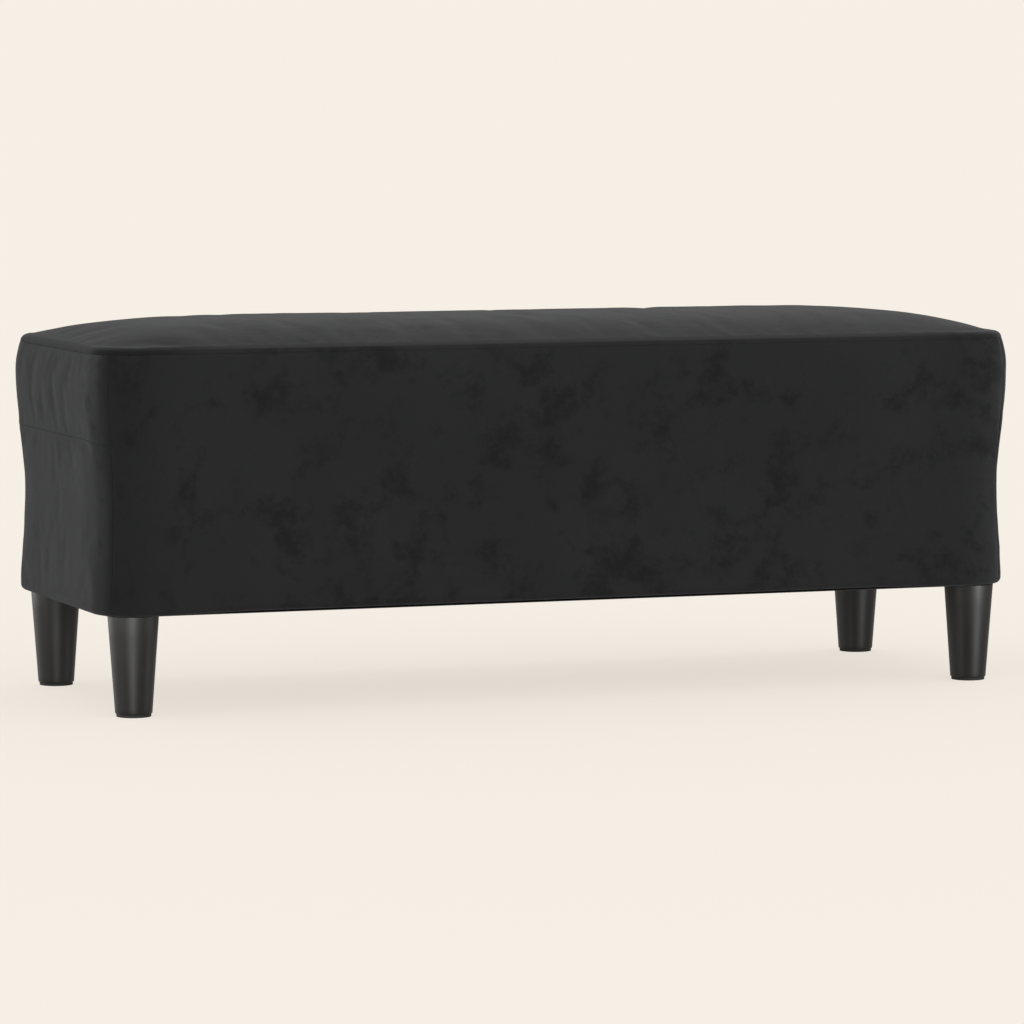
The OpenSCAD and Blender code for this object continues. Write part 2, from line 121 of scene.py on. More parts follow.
@dataclass(frozen=True)
class BodyShape:
    """The outer form of the upholstered body, as in the part's source."""

    length: float = 1.0
    depth: float = 0.35
    height: float = 0.260
    deck_height: float = 0.174
    corner_radius: float = 0.045
    leg_height: float = 0.102
    waist_in: float = 0.004
    waist_height: float = 0.108
    swell_out: float = 0.004
    swell_below: float = 0.029
    seam_tuck: float = 0.005
    crown_rise: float = 0.023
    edge_radius: float = 0.006
    crown_power_length: float = 9.6
    crown_power_depth: float = 3.1
    hem_radius: float = 0.006
    hem_turn: float = 0.030

    @property
    def seam_level(self) -> float:
        """Height of the seat's seam above the floor."""
        return self.leg_height + self.height

    @property
    def seat_half_length(self) -> float:
        """Half the seat's length at its seam."""
        return self.length / 2 + self.wall_out(self.height)

    @property
    def seat_half_depth(self) -> float:
        """Half the seat's depth at its seam."""
        return self.depth / 2 + self.wall_out(self.height)

    def wall_out(self, height: float) -> float:
        """How far a wall stands out from its nominal face.

        Args:
            height: Height above the underside of the body.

        Returns:
            Distance outwards.
        """
        swell_height = self.height - self.swell_below
        if height < self.waist_height:
            rise = (height - self.hem_radius) / (self.waist_height - self.hem_radius)
            return -self.waist_in * eased(rise)
        if height < swell_height:
            rise = (height - self.waist_height) / (swell_height - self.waist_height)
            return -self.waist_in + (self.swell_out + self.waist_in) * eased(rise)
        return self.swell_out - self.seam_tuck * ((height - swell_height) / self.swell_below) ** 2

    def crown(self, x: float, y: float) -> float:
        """Rise of the seat above its soft edge at a place in plan.

        Args:
            x: Distance along the bench from its middle.
            y: Distance across it from its middle.

        Returns:
            The rise.
        """
        along = min(1.0, abs(x) / self.seat_half_length) ** self.crown_power_length
        across = min(1.0, abs(y) / self.seat_half_depth) ** self.crown_power_depth
        return self.crown_rise * (1 - along) * (1 - across)

    def run(self, side: Side) -> float:
        """Straight length of a wall between its rounded corners."""
        return (self.length if side.is_long else self.depth) - 2 * self.corner_radius

    def reach(self, side: Side) -> float:
        """Distance of a wall's nominal face from the middle of the bench."""
        return (self.depth if side.is_long else self.length) / 2

    def half_girth(self, side: Side) -> float:
        """Distance along a wall from its middle to the seam half way round its corner."""
        return self.run(side) / 2 + self.corner_radius * math.pi / 4

    def wall_frame(self, side: Side, along: float) -> tuple[Vector, Vector]:
        """Place on a wall's nominal face in plan, and the direction straight out from it.

        Args:
            side: The wall.
            along: Signed distance from the middle of the wall, round its corner at each end.

        Returns:
            The place on the floor plane and the outward direction.
        """
        half_run = self.run(side) / 2
        past = max(0.0, abs(along) - half_run)
        angle = past / self.corner_radius
        sign = math.copysign(1.0, along)
        out = Vector((sign * math.sin(angle), -math.cos(angle), 0.0))
        centre = Vector((sign * min(abs(along), half_run), self.corner_radius - self.reach(side), 0.0))
        return side.turn @ (centre + out * self.corner_radius), side.turn @ out


# ---------------------------------------------------------------- work on meshes


def deselect_all() -> None:
    """Leaves nothing selected, in object mode."""
    if bpy.context.mode != "OBJECT":
        bpy.ops.object.mode_set(mode="OBJECT")
    bpy.ops.object.select_all(action="DESELECT")


def make_active(piece: bpy.types.Object) -> None:
    """Selects one piece alone and makes it the active one.

    Args:
        piece: The piece.
    """
    deselect_all()
    piece.select_set(True)
    bpy.context.view_layer.objects.active = piece


def apply_modifier(piece: bpy.types.Object, kind: str, **settings: object) -> None:
    """Adds a modifier with the given settings and applies it.

    Args:
        piece: The piece to change.
        kind: Type of the modifier.
        settings: Its settings by name.
    """
    make_active(piece)
    modifier = piece.modifiers.new(kind.lower(), kind)
    for name, value in settings.items():
        setattr(modifier, name, value)
    bpy.ops.object.modifier_apply(modifier=modifier.name)


def coordinates(piece: bpy.types.Object) -> np.ndarray:
    """The places of a piece's vertices, one row each.

    Args:
        piece: The piece.

    Returns:
        The places as an array of three columns.
    """
    flat = np.empty(len(piece.data.vertices) * 3)
    piece.data.vertices.foreach_get("co", flat)
    return flat.reshape(-1, 3)


def set_coordinates(piece: bpy.types.Object, places: np.ndarray) -> None:
    """Moves a piece's vertices to the given places, one row each."""
    piece.data.vertices.foreach_set("co", places.ravel())
    piece.data.update()


def vertex_normals(piece: bpy.types.Object) -> np.ndarray:
    """The normals of a piece's vertices, one row each.

    Args:
        piece: The piece.

    Returns:
        The normals as an array of three columns.
    """
    flat = np.empty(len(piece.data.vertices) * 3)
    piece.data.vertices.foreach_get("normal", flat)
    return flat.reshape(-1, 3)


def smooth_field(piece: bpy.types.Object, values: np.ndarray, rounds: int) -> np.ndarray:
    """Averages a number over each vertex's neighbours, time after time.

    Args:
        piece: The piece whose edges say which vertices are neighbours.
        values: One number for each vertex.
        rounds: How often to average.

    Returns:
        The smoothed numbers.
    """
    ends = np.empty(len(piece.data.edges) * 2, dtype=np.int64)
    piece.data.edges.foreach_get("vertices", ends)
    first, second = ends.reshape(-1, 2).T
    count = len(values)
    degree = np.bincount(first, minlength=count) + np.bincount(second, minlength=count)
    for _ in range(rounds):
        total = np.bincount(first, values[second], count) + np.bincount(second, values[first], count)
        values = 0.5 * values + 0.5 * total / degree
    return values


def grid_piece(
    name: str, columns: int, rows: int, place: Callable[[int, int], Vector]
) -> bpy.types.Object:
    """A grid whose vertices are moved to places worked out from their column and row.

    Args:
        name: Name of the piece.
        columns: Faces along the first direction.
        rows: Faces along the second direction.
        place: Gives the place of a vertex by its column and row.

    Returns:
        The new piece.
    """
    deselect_all()
    bpy.ops.mesh.primitive_grid_add(x_subdivisions=columns, y_subdivisions=rows, size=2)
    piece = bpy.context.object
    piece.name = piece.data.name = name
    for vertex in piece.data.vertices:
        column = round((vertex.co.x + 1) / 2 * columns)
        row = round((vertex.co.y + 1) / 2 * rows)
        vertex.co = place(column, row)
    piece.data.update()
    return piece


def mesh_piece(name: str, places: Sequence[Vector], faces: Sequence[Sequence[int]]) -> bpy.types.Object:
    """A piece from its vertices and faces.

    Args:
        name: Name of the piece.
        places: The vertices.
        faces: The vertices of each face by number.

    Returns:
        The new piece.
    """
    mesh = bpy.data.meshes.new(name)
    mesh.from_pydata([tuple(p) for p in places], [], faces)
    mesh.update()
    piece = bpy.data.objects.new(name, mesh)
    bpy.context.scene.collection.objects.link(piece)
    return piece


def shade_smooth(piece: bpy.types.Object, degrees: float = 40.0) -> None:
    """Shades a piece smooth, apart from edges sharper than the given angle."""
    make_active(piece)
    bpy.ops.object.shade_smooth_by_angle(angle=math.radians(degrees))


def thicken(piece: bpy.types.Object, thickness: float) -> None:
    """Rounds a single layer of cloth off and gives it its thickness inwards.

    Args:
        piece: The layer.
        thickness: Its thickness.
    """
    apply_modifier(piece, "SUBSURF", levels=1, render_levels=1, boundary_smooth="PRESERVE_CORNERS")
    apply_modifier(
        piece, "SOLIDIFY", thickness=thickness, offset=-1.0, use_even_offset=False, use_quality_normals=True
    )
    shade_smooth(piece, SOFT_EDGE)


def merged_copy(node: str, name: str) -> bpy.types.Object:
    """A copy of a CAD node with its own mesh, its loose triangles joined.

    Args:
        node: Name of the CAD node.
        name: Name of the copy.

    Returns:
        The copy, free of any body.
    """
    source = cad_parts[node]
    piece = bpy.data.objects.new(name, source.data.copy())
    bpy.context.scene.collection.objects.link(piece)
    piece.data.name = name
    make_active(piece)
    if piece.data.has_custom_normals:
        bpy.ops.mesh.customdata_custom_splitnormals_clear()
    bpy.ops.object.mode_set(mode="EDIT")
    bpy.ops.mesh.select_all(action="SELECT")
    bpy.ops.mesh.remove_doubles(threshold=MERGE)
    bpy.ops.object.mode_set(mode="OBJECT")
    return piece


# ---------------------------------------------------------------- finishes


Colour = tuple[float, float, float, float]
Range = tuple[float, float]
Socket = bpy.types.NodeSocket


def grey(level: float, warmth: float = 0.0) -> Colour:
    """A near-neutral linear colour.

    Args:
        level: Its brightness.
        warmth: Share by which red is raised and blue lowered.

    Returns:
        The colour with full alpha.
    """
    return (level * (1 + warmth), level, level * (1 - warmth), 1.0)


@dataclass(frozen=True)
class Pattern:
    """A noise by its repeats in a metre, its octaves, the weight of the finer ones and its swirl."""

    scale: float
    detail: float = 2.0
    roughness: float = 0.5
    distortion: float = 0.0


@dataclass(frozen=True)
class Emboss:
    """How deep a pattern stands in the surface, in metres, and the share of it that shows."""

    depth: float
    strength: float


class Graph:
    """The node graph of one material while it is put together."""

    def __init__(self, name: str) -> None:
        """Starts an empty material.

        Args:
            name: Name of the material.
        """
        self.material = bpy.data.materials.new(f"{name}_finish")
        self.material.use_nodes = True
        self.tree = self.material.node_tree
        self.tree.nodes.clear()
        self.place = self.add("ShaderNodeTexCoord").outputs["Object"]

    def add(self, kind: str, inputs: Optional[dict] = None, **settings: object) -> bpy.types.Node:
        """Adds a node.

        Args:
            kind: Type of the node.
            inputs: Values or sockets for its inputs, by name or number.
            settings: Its own settings by name.

        Returns:
            The node.
        """
        node = self.tree.nodes.new(kind)
        for name, value in settings.items():
            setattr(node, name, value)
        for key, value in (inputs or {}).items():
            if isinstance(value, Socket):
                self.tree.links.new(value, node.inputs[key])
            else:
                node.inputs[key].default_value = value
        return node

    def axis(self, letter: str) -> Socket:
        """One coordinate of the piece's own place: X, Y or Z."""
        return self.add("ShaderNodeSeparateXYZ", {0: self.place}).outputs[letter]

    def scaled(self, scale: Sequence[float], turn: float = 0.0) -> Socket:
        """Object coordinates scaled by three factors, after a turn about the upright axis."""
        inputs = {"Vector": self.place, "Scale": tuple(scale), "Rotation": (0.0, 0.0, turn)}
        return self.add("ShaderNodeMapping", inputs).outputs["Vector"]

    def noise(self, pattern: Pattern, at: Optional[Socket] = None) -> Socket:
        """Noise from 0 to 1.

        Args:
            pattern: The noise.
            at: Coordinates to use instead of the piece's own.

        Returns:
            The noise value.
        """
        inputs = {
            "Vector": at or self.place,
            "Scale": pattern.scale,
            "Detail": pattern.detail,
            "Roughness": pattern.roughness,
            "Distortion": pattern.distortion,
        }
        return self.add("ShaderNodeTexNoise", inputs).outputs["Fac"]

    def remap(self, value: Socket, span: Range, to: Range = (0.0, 1.0)) -> Socket:
        """A value eased from one range to another and held at its ends.

        Args:
            value: The value.
            span: Range that it is taken from.
            to: Range that it is taken to.

        Returns:
            The eased value.
        """
        names = ("From Min", "From Max", "To Min", "To Max")
        inputs = {"Value": value, **dict(zip(names, (*span, *to)))}
        return self.add("ShaderNodeMapRange", inputs, interpolation_type="SMOOTHSTEP").outputs["Result"]

    def band(self, value: Socket, rise: Range, fall: Range) -> Socket:
        """Share that eases up to 1 over one range and back to 0 over the next."""
        return self.maths("SUBTRACT", self.remap(value, rise), self.remap(value, fall))

    def maths(self, operation: str, first: object, second: object = 0.0) -> Socket:
        """One sum on two values or sockets."""
        return self.add("ShaderNodeMath", {0: first, 1: second}, operation=operation).outputs[0]

    def times(self, first: object, second: object) -> Socket:
        """Product of two values or sockets."""
        return self.maths("MULTIPLY", first, second)

    def mix(self, share: object, first: object, second: object) -> Socket:
        """Mix of two colours by a share from 0 to 1."""
        return self.add("ShaderNodeMix", {0: share, 6: first, 7: second}, data_type="RGBA").outputs[2]

    def bump(self, height: object, emboss: Emboss, under: Optional[Socket] = None) -> Socket:
        """Normal that follows a height.

        Args:
            height: The height, from 0 to 1.
            emboss: What a height of 1 stands for.
            under: Normal to start from.

        Returns:
            The bumped normal.
        """
        inputs = {"Height": height, "Distance": emboss.depth, "Strength": emboss.strength}
        if under is not None:
            inputs["Normal"] = under
        return self.add("ShaderNodeBump", inputs).outputs["Normal"]

    def surface(self, **inputs: object) -> bpy.types.Material:
        """Ends the graph with a principled surface.

        Args:
            inputs: Values or sockets by socket name, with underscores for spaces.

        Returns:
            The finished material.
        """
        named = {key.replace("_", " "): value for key, value in inputs.items()}
        shader = self.add("ShaderNodeBsdfPrincipled", named)
        self.add("ShaderNodeOutputMaterial", {"Surface": shader.outputs[0]})
        return self.material


class Finish:
    """A finish that makes its material once and hands it out from then on."""

    slot: str = ""
    made: ClassVar[dict[str, bpy.types.Material]] = {}

    def graph(self) -> bpy.types.Material:
        """Makes the material."""
        raise NotImplementedError

    def material(self) -> bpy.types.Material:
        """The material, made on first use.

        Returns:
            The material.
        """
        if self.name not in self.made:
            self.made[self.name] = self.graph()
        return self.made[self.name]

    def dress(self, piece: bpy.types.Object) -> None:
        """Gives a new piece this finish.

        Args:
            piece: The new piece.
        """
        piece.data.materials.clear()
        piece.data.materials.append(self.material())
        self.slot

    def dress_node(self, node: str) -> None:
        """Gives a CAD node this finish through its object's material slots.

        Args:
            node: Name of the CAD node.
        """
        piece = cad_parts[node]
        if not piece.material_slots:
            piece.data.materials.append(None)
        for entry in piece.material_slots:
            entry.link = "OBJECT"
            entry.material = self.material()


def take_place(piece: bpy.types.Object, node: str, finish: Finish) -> None:
    """Dresses a finished piece and lets it take a CAD node's place on the one body.

    Args:
        piece: The finished piece.
        node: Name of the CAD node.
        finish: Its finish.
    """
    finish.dress(piece)
    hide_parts(node)
    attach(piece, ROOT)


@dataclass(frozen=True)
class PileCloth(Finish):
    """Short dark pile that darkens in patches where the nap lies over, and lightens at a low angle."""

    name: str = "pile_cloth"
    slot: str = "pile_cloth"
    upright: Colour = grey(0.0266)
    # pressed colours the pressed patches, and the seat, wall and end variants also darken towards it as
    # painted shade
    pressed: Colour = grey(0.0145)
    brushed: Colour = grey(0.0298)
    roughness: float = 0.95
    sheen: float = 0.155
    sheen_roughness: float = 0.44
    clusters: Pattern = Pattern(7.0, 2.0, 0.5)
    cluster_weight: float = 0.35
    patches: Pattern = Pattern(27.0, 10.0, 0.70, 0.15)
    patch_span: Range = (0.66, 0.86)
    specks: Pattern = Pattern(80.0, 6.0, 0.70, 0.1)
    speck_span: Range = (0.56, 0.76)
    speck_share: Range = (0.0, 0.5)
    mottle: float = 0.70
    broad: Pattern = Pattern(5.0, 5.0, 0.55, 0.3)
    broad_span: Range = (0.35, 0.68)
    fibres: Pattern = Pattern(1500.0, 2.0, 0.6)
    fibre_span: Range = (0.3, 0.7)
    fibre_share: Range = (0.0, 0.2)
    fibre_relief: Emboss = Emboss(0.25 * MM, 0.6)
    nap: Pattern = Pattern(75.0, 5.0, 0.6, 0.4)
    nap_relief: Emboss = Emboss(1.1 * MM, 0.35)

    def painted_shading_under_patches(self, g: Graph, colour: Socket) -> Socket:
        """Colour with painted light and shade, laid under the pressed patches. Plain cloth has none."""
        return colour

    def painted_shading_over_patches(self, g: Graph, colour: Socket) -> Socket:
        """Colour with painted highlight and shade, laid over the pressed patches. Plain cloth has none."""
        return colour

    def flattened(self, g: Graph) -> Socket:
        """Share by which the nap is pressed flat: patches in clusters, and finer specks.

        Args:
            g: Graph of the material.

        Returns:
            The share from 0 to 1.
        """
        clusters = g.times(g.noise(self.clusters), self.cluster_weight)
        grouped = g.maths("ADD", g.noise(self.patches), clusters)
        specks = g.remap(g.noise(self.specks), self.speck_span, self.speck_share)
        return g.maths("MAXIMUM", g.remap(grouped, self.patch_span), specks)

    def graph(self) -> bpy.types.Material:
        """Makes the material.

        Returns:
            The finished material.
        """
        g = Graph(self.name)
        fibres = g.noise(self.fibres)
        colour = g.mix(g.remap(g.noise(self.broad), self.broad_span), self.upright, self.brushed)
        # painted light and shade of the wall and end variants, under the patches
        colour = self.painted_shading_under_patches(g, colour)
        colour = g.mix(g.times(self.flattened(g), self.mottle), colour, self.pressed)
        # painted highlight and shade of the seat, over the patches
        colour = self.painted_shading_over_patches(g, colour)
        colour = g.mix(g.remap(fibres, self.fibre_span, self.fibre_share), colour, self.pressed)
        normal = g.bump(fibres, self.fibre_relief, g.bump(g.noise(self.nap), self.nap_relief))
        return g.surface(
            Base_Color=colour,
            Roughness=self.roughness,
            Specular_IOR_Level=0.0,
            Sheen_Weight=self.sheen,
            Sheen_Roughness=self.sheen_roughness,
            Normal=normal,
        )


@dataclass(frozen=True)
class SeatPile(PileCloth):
    """Pile of the seat, with a painted highlight on the fold above its long seams and painted shade at its
    left end.

    A span, rise, fall or level is a range of places in metres; a share is what it is eased to.
    """

    # painted highlight: colour of the fold above the long seams
    painted_highlight: Colour = grey(0.0450)
    edge_span: Range = (0.130, 0.160)
    fold_rise: Range = (0.3660, 0.3680)
    fold_fall: Range = (0.3684, 0.3730)
    end_span: Range = (0.33, 0.43)
    end_share: Range = (1.0, 0.25)
    # painted shade towards the seat's left end
    painted_shade_span: Range = (-0.46, -0.38)
    painted_shade_share: Range = (0.8, 0.0)

    def painted_shading_over_patches(self, g: Graph, colour: Socket) -> Socket:
        """Colour with painted shade at the left end and a painted highlight on the fold.

        Args:
            g: Graph of the material.
            colour: Colour to start from.

        Returns:
            The colour.
        """
        along = g.axis("X")
        # painted shade: the left end darkened towards the pressed colour
        colour = g.mix(g.remap(along, self.painted_shade_span, self.painted_shade_share), colour, self.pressed)
        edge = g.remap(g.maths("ABSOLUTE", g.axis("Y")), self.edge_span)
        fold = g.times(edge, g.band(g.axis("Z"), self.fold_rise, self.fold_fall))
        inner = g.remap(g.maths("ABSOLUTE", along), self.end_span, self.end_share)
        # painted highlight: the fold above the long seams lightened, less towards the ends
        return g.mix(g.times(fold, inner), colour, self.painted_highlight)


@dataclass(frozen=True)
class WallPile(PileCloth):
    """Pile of the long walls, with painted light at the right end and painted shade at the left end."""

    name: str = "pile_cloth_long"
    # painted light towards the right end
    lit: Colour = grey(0.0400)
    lit_span: Range = (0.42, 0.51)
    lit_share: Range = (0.0, 0.8)
    # painted shade towards the left end
    painted_shade_span: Range = (-0.50, -0.40)
    painted_shade_share: Range = (0.45, 0.0)

    def painted_shading_under_patches(self, g: Graph, colour: Socket) -> Socket:
        """Colour with painted light at the right end and painted shade at the left one.

        Args:
            g: Graph of the material.
            colour: Colour to start from.

        Returns:
            The colour.
        """
        along = g.axis("X")
        # painted light: the right end lightened
        colour = g.mix(g.remap(along, self.lit_span, self.lit_share), colour, self.lit)
        # painted shade: the left end darkened towards the pressed colour
        return g.mix(g.remap(along, self.painted_shade_span, self.painted_shade_share), colour, self.pressed)


@dataclass(frozen=True)
class EndPile(PileCloth):
    """Pile of the end walls, a lighter copy of the pile that paints light on them, with a painted light
    band and painted shade just beside the corner seams.

    Its bands follow the turn of a corner: |x| - |y| grows from the corner seam to the flat wall.
    """

    name: str = "pile_cloth_end"
    # painted light: lighter base colours and less sheen than the other panels' pile
    upright: Colour = grey(0.0320)
    pressed: Colour = grey(0.0185)
    brushed: Colour = grey(0.0355)
    sheen: float = 0.135
    # painted light band near the top of each corner
    lit: Colour = grey(0.0480)
    lit_rise: Range = (0.338, 0.350)
    lit_fall: Range = (0.370, 0.385)
    lit_levels: Range = (0.27, 0.33)
    # painted shade just beside the corner seams
    painted_shade_span: Range = (0.326, 0.347)
    painted_shade_share: Range = (0.74, 0.0)

    def painted_shading_under_patches(self, g: Graph, colour: Socket) -> Socket:
        """Colour with a painted light band at the top of each corner and painted shade beside its seam.

        Args:
            g: Graph of the material.
            colour: Colour to start from.

        Returns:
            The colour.
        """
        turn = g.maths("SUBTRACT", g.maths("ABSOLUTE", g.axis("X")), g.maths("ABSOLUTE", g.axis("Y")))
        lit = g.times(g.band(turn, self.lit_rise, self.lit_fall), g.remap(g.axis("Z"), self.lit_levels))
        # painted light: band lightened at the top of each corner
        colour = g.mix(lit, colour, self.lit)
        # painted shade: darkened beside each corner seam
        return g.mix(g.remap(turn, self.painted_shade_span, self.painted_shade_share), colour, self.pressed)


@dataclass(frozen=True)
class MouldedPlastic(Finish):
    """Satin black moulded plastic with a fine flow texture, a little rougher towards its top."""

    name: str = "moulded_plastic"
    slot: str = "moulded_plastic"
    colour: Colour = grey(0.0028)
    scuffed: Colour = grey(0.006)
    specular: float = 0.20
    flow: Pattern = Pattern(60.0, 4.0, 0.55, 0.2)
    flow_stretch: tuple[float, float, float] = (1.0, 1.0, 0.12)
    flow_span: Range = (0.3, 0.7)
    flow_roughness: Range = (0.43, 0.48)
    flow_relief: Emboss = Emboss(0.35 * MM, 0.25)
    grain: Pattern = Pattern(2200.0, 2.0, 0.5)
    grain_relief: Emboss = Emboss(0.04 * MM, 0.5)
    scuffs: Pattern = Pattern(38.0, 6.0, 0.7, 1.2)
    scuff_span: Range = (0.60, 0.74)
    scuff_roughness: float = 0.06
    drawn_levels: Range = (0.03, 0.10)
    drawn_roughness: Range = (0.0, 0.09)

    def graph(self) -> bpy.types.Material:
        """Makes the material.

        Returns:
            The finished material.
        """
        g = Graph(self.name)
        flow = g.noise(self.flow, g.scaled(self.flow_stretch))
        scuffs = g.remap(g.noise(self.scuffs), self.scuff_span)
        roughness = g.maths(
            "ADD", g.remap(flow, self.flow_span, self.flow_roughness), g.times(scuffs, self.scuff_roughness)
        )
        drawn = g.remap(g.axis("Z"), self.drawn_levels, self.drawn_roughness)
        return g.surface(
            Base_Color=g.mix(scuffs, self.colour, self.scuffed),
            Roughness=g.maths("ADD", roughness, drawn),
            Specular_IOR_Level=self.specular,
            Normal=g.bump(g.noise(self.grain), self.grain_relief, g.bump(flow, self.flow_relief)),
        )


@dataclass(frozen=True)
class GlideRubber(Finish):
    """Matt black rubber, dusty on its underside."""

    name: str = "glide_rubber"
    slot: str = "glide_rubber"
    colour: Colour = grey(0.0045)
    dusty: Colour = grey(0.016, 0.05)
    roughness: float = 0.82
    specular: float = 0.25
    dust: Pattern = Pattern(90.0, 5.0, 0.6)
    dust_span: Range = (0.45, 0.75)
    dust_share: Range = (0.0, 0.5)
    grain: Pattern = Pattern(1300.0, 3.0, 0.6)
    grain_relief: Emboss = Emboss(0.12 * MM, 0.6)

    def graph(self) -> bpy.types.Material:
        """Makes the material.

        Returns:
            The finished material.
        """
        g = Graph(self.name)
        dust = g.remap(g.noise(self.dust), self.dust_span, self.dust_share)
        return g.surface(
            Base_Color=g.mix(dust, self.colour, self.dusty),
            Roughness=self.roughness,
            Specular_IOR_Level=self.specular,
            Normal=g.bump(g.noise(self.grain), self.grain_relief),
        )


class Grain(Enum):
    """Direction that the grain of a timber piece runs in."""

    ALONG_X = (0.05, 1.0, 1.0)
    ALONG_Y = (1.0, 0.05, 1.0)
    ALONG_Z = (1.0, 1.0, 0.05)


@dataclass(frozen=True)
class Timber(Finish):
    """Planed timber with growth lines along its length."""

    species: str = "pine"
    grain: Grain = Grain.ALONG_X
    pale: Colour = (0.62, 0.40, 0.20, 1.0)
    dark: Colour = (0.42, 0.22, 0.09, 1.0)
    line_scale: float = 60.0
    lines_in_noise: float = 9.0
    line_span: Range = (0.15, 0.9)
    line_share: float = 0.7
    line_roughness: Range = (0.55, 0.68)
    pores_per_line: float = 14
    pore_span: Range = (0.55, 0.75)
    pore_share: Range = (0.0, 0.45)
    pore_relief: Emboss = Emboss(0.15 * MM, 0.5)

    @property
    def name(self) -> str:
        """Name of the material, one for each direction."""
        return f"{self.species}_{self.grain.name.lower()}"

    @property
    def slot(self) -> str:
        """The record's slot, which is the species."""
        return self.species

    def graph(self) -> bpy.types.Material:
        """Makes the material.

        Returns:
            The finished material.
        """
        g = Graph(self.name)
        along = g.scaled(self.grain.value)
        lines = g.noise(Pattern(self.line_scale, 3.0, 0.45, 1.6), along)
        lines = g.remap(g.maths("PINGPONG", g.times(lines, self.lines_in_noise), 1.0), self.line_span)
        pores = g.noise(Pattern(self.line_scale * self.pores_per_line, 2.0, 0.7), along)
        colour = g.mix(g.times(lines, self.line_share), self.pale, self.dark)
        return g.surface(
            Base_Color=g.mix(g.remap(pores, self.pore_span, self.pore_share), colour, self.dark),
            Roughness=g.remap(lines, (0.0, 1.0), self.line_roughness),
            Normal=g.bump(pores, self.pore_relief),
        )


@dataclass(frozen=True)
class Plywood(Finish):
    """Sanded plywood, with flame figure on its faces and thin plies at its edge."""

    name: str = "plywood"
    slot: str = "plywood"
    pale: Colour = (0.60, 0.42, 0.25, 1.0)
    dark: Colour = (0.45, 0.28, 0.14, 1.0)
    glue: Colour = (0.30, 0.17, 0.08, 1.0)
    roughness: float = 0.62
    figure: Pattern = Pattern(16.0, 4.0, 0.5, 2.2)
    figure_stretch: tuple[float, float, float] = (0.12, 1.0, 1.0)
    flames_in_noise: float = 7.0
    flame_span: Range = (0.1, 0.9)
    flame_share: float = 0.5
    ply: float = 2.4 * MM
    ply_span: Range = (0.4, 0.6)
    ply_share: Range = (0.0, 0.3)
    fibres: Pattern = Pattern(420.0, 2.0, 0.6)
    fibre_stretch: tuple[float, float, float] = (0.08, 1.0, 1.0)
    fibre_relief: Emboss = Emboss(0.12 * MM, 0.5)

    def graph(self) -> bpy.types.Material:
        """Makes the material.

        Returns:
            The finished material.
        """
        g = Graph(self.name)
        figure = g.noise(self.figure, g.scaled(self.figure_stretch))
        flames = g.remap(g.maths("PINGPONG", g.times(figure, self.flames_in_noise), 1.0), self.flame_span)
        plies = g.maths("PINGPONG", g.times(g.axis("Z"), 1 / self.ply), 1.0)
        colour = g.mix(g.times(flames, self.flame_share), self.pale, self.dark)
        return g.surface(
            Base_Color=g.mix(g.remap(plies, self.ply_span, self.ply_share), colour, self.glue),
            Roughness=self.roughness,
            Normal=g.bump(g.noise(self.fibres, g.scaled(self.fibre_stretch)), self.fibre_relief),
        )


@dataclass(frozen=True)
class Hardboard(Finish):
    """Pressed brown fibreboard with a faint mesh texture."""

    name: str = "hardboard"
    slot: str = "hardboard"
    dark: Colour = (0.19, 0.10, 0.045, 1.0)
    pale: Colour = (0.26, 0.15, 0.075, 1.0)
    fleck: Colour = (0.11, 0.055, 0.025, 1.0)
    roughness: float = 0.66
    clouds: Pattern = Pattern(9.0, 3.0, 0.5)
    cloud_span: Range = (0.3, 0.7)
    flecks: Pattern = Pattern(240.0, 5.0, 0.7, 0.6)
    fleck_span: Range = (0.56, 0.70)
    fleck_share: Range = (0.0, 0.6)
    fleck_relief: Emboss = Emboss(0.2 * MM, 0.5)

    def graph(self) -> bpy.types.Material:
        """Makes the material.

        Returns:
            The finished material.
        """
        g = Graph(self.name)
        flecks = g.noise(self.flecks)
        colour = g.mix(g.remap(g.noise(self.clouds), self.cloud_span), self.dark, self.pale)
        return g.surface(
            Base_Color=g.mix(g.remap(flecks, self.fleck_span, self.fleck_share), colour, self.fleck),
            Roughness=self.roughness,
            Normal=g.bump(flecks, self.fleck_relief),
        )


@dataclass(frozen=True)
class Foam(Finish):
    """Open-celled foam in a given tint."""

    slot: str = "seat_foam"
    tint: Colour = (0.78, 0.70, 0.46, 1.0)
    cells: float = 700.0
    roughness: float = 0.95
    shaded: float = 0.55
    cell_span: Range = (0.1, 0.5)
    cell_share: Range = (0.55, 0.0)
    cell_relief: Emboss = Emboss(0.5 * MM, 0.8)
    yellowed: float = 0.8
    ageing: Pattern = Pattern(14.0, 3.0, 0.5)
    ageing_span: Range = (0.3, 0.75)
    ageing_share: Range = (0.0, 0.35)

    @property
    def name(self) -> str:
        """Name of the material, which is its slot's."""
        return self.slot

    def toned(self, level: float) -> Colour:
        """The tint at a share of its brightness."""
        return tuple(c * level for c in self.tint[:3]) + (1.0,)

    def graph(self) -> bpy.types.Material:
        """Makes the material.

        Returns:
            The finished material.
        """
        g = Graph(self.name)
        cell = g.add("ShaderNodeTexVoronoi", {"Vector": g.place, "Scale": self.cells}).outputs["Distance"]
        aged = g.remap(g.noise(self.ageing), self.ageing_span, self.ageing_share)
        colour = g.mix(aged, self.tint, self.toned(self.yellowed))
        shade = g.remap(cell, self.cell_span, self.cell_share)
        return g.surface(
            Base_Color=g.mix(shade, colour, self.toned(self.shaded)),
            Roughness=self.roughness,
            Normal=g.bump(cell, self.cell_relief),
        )


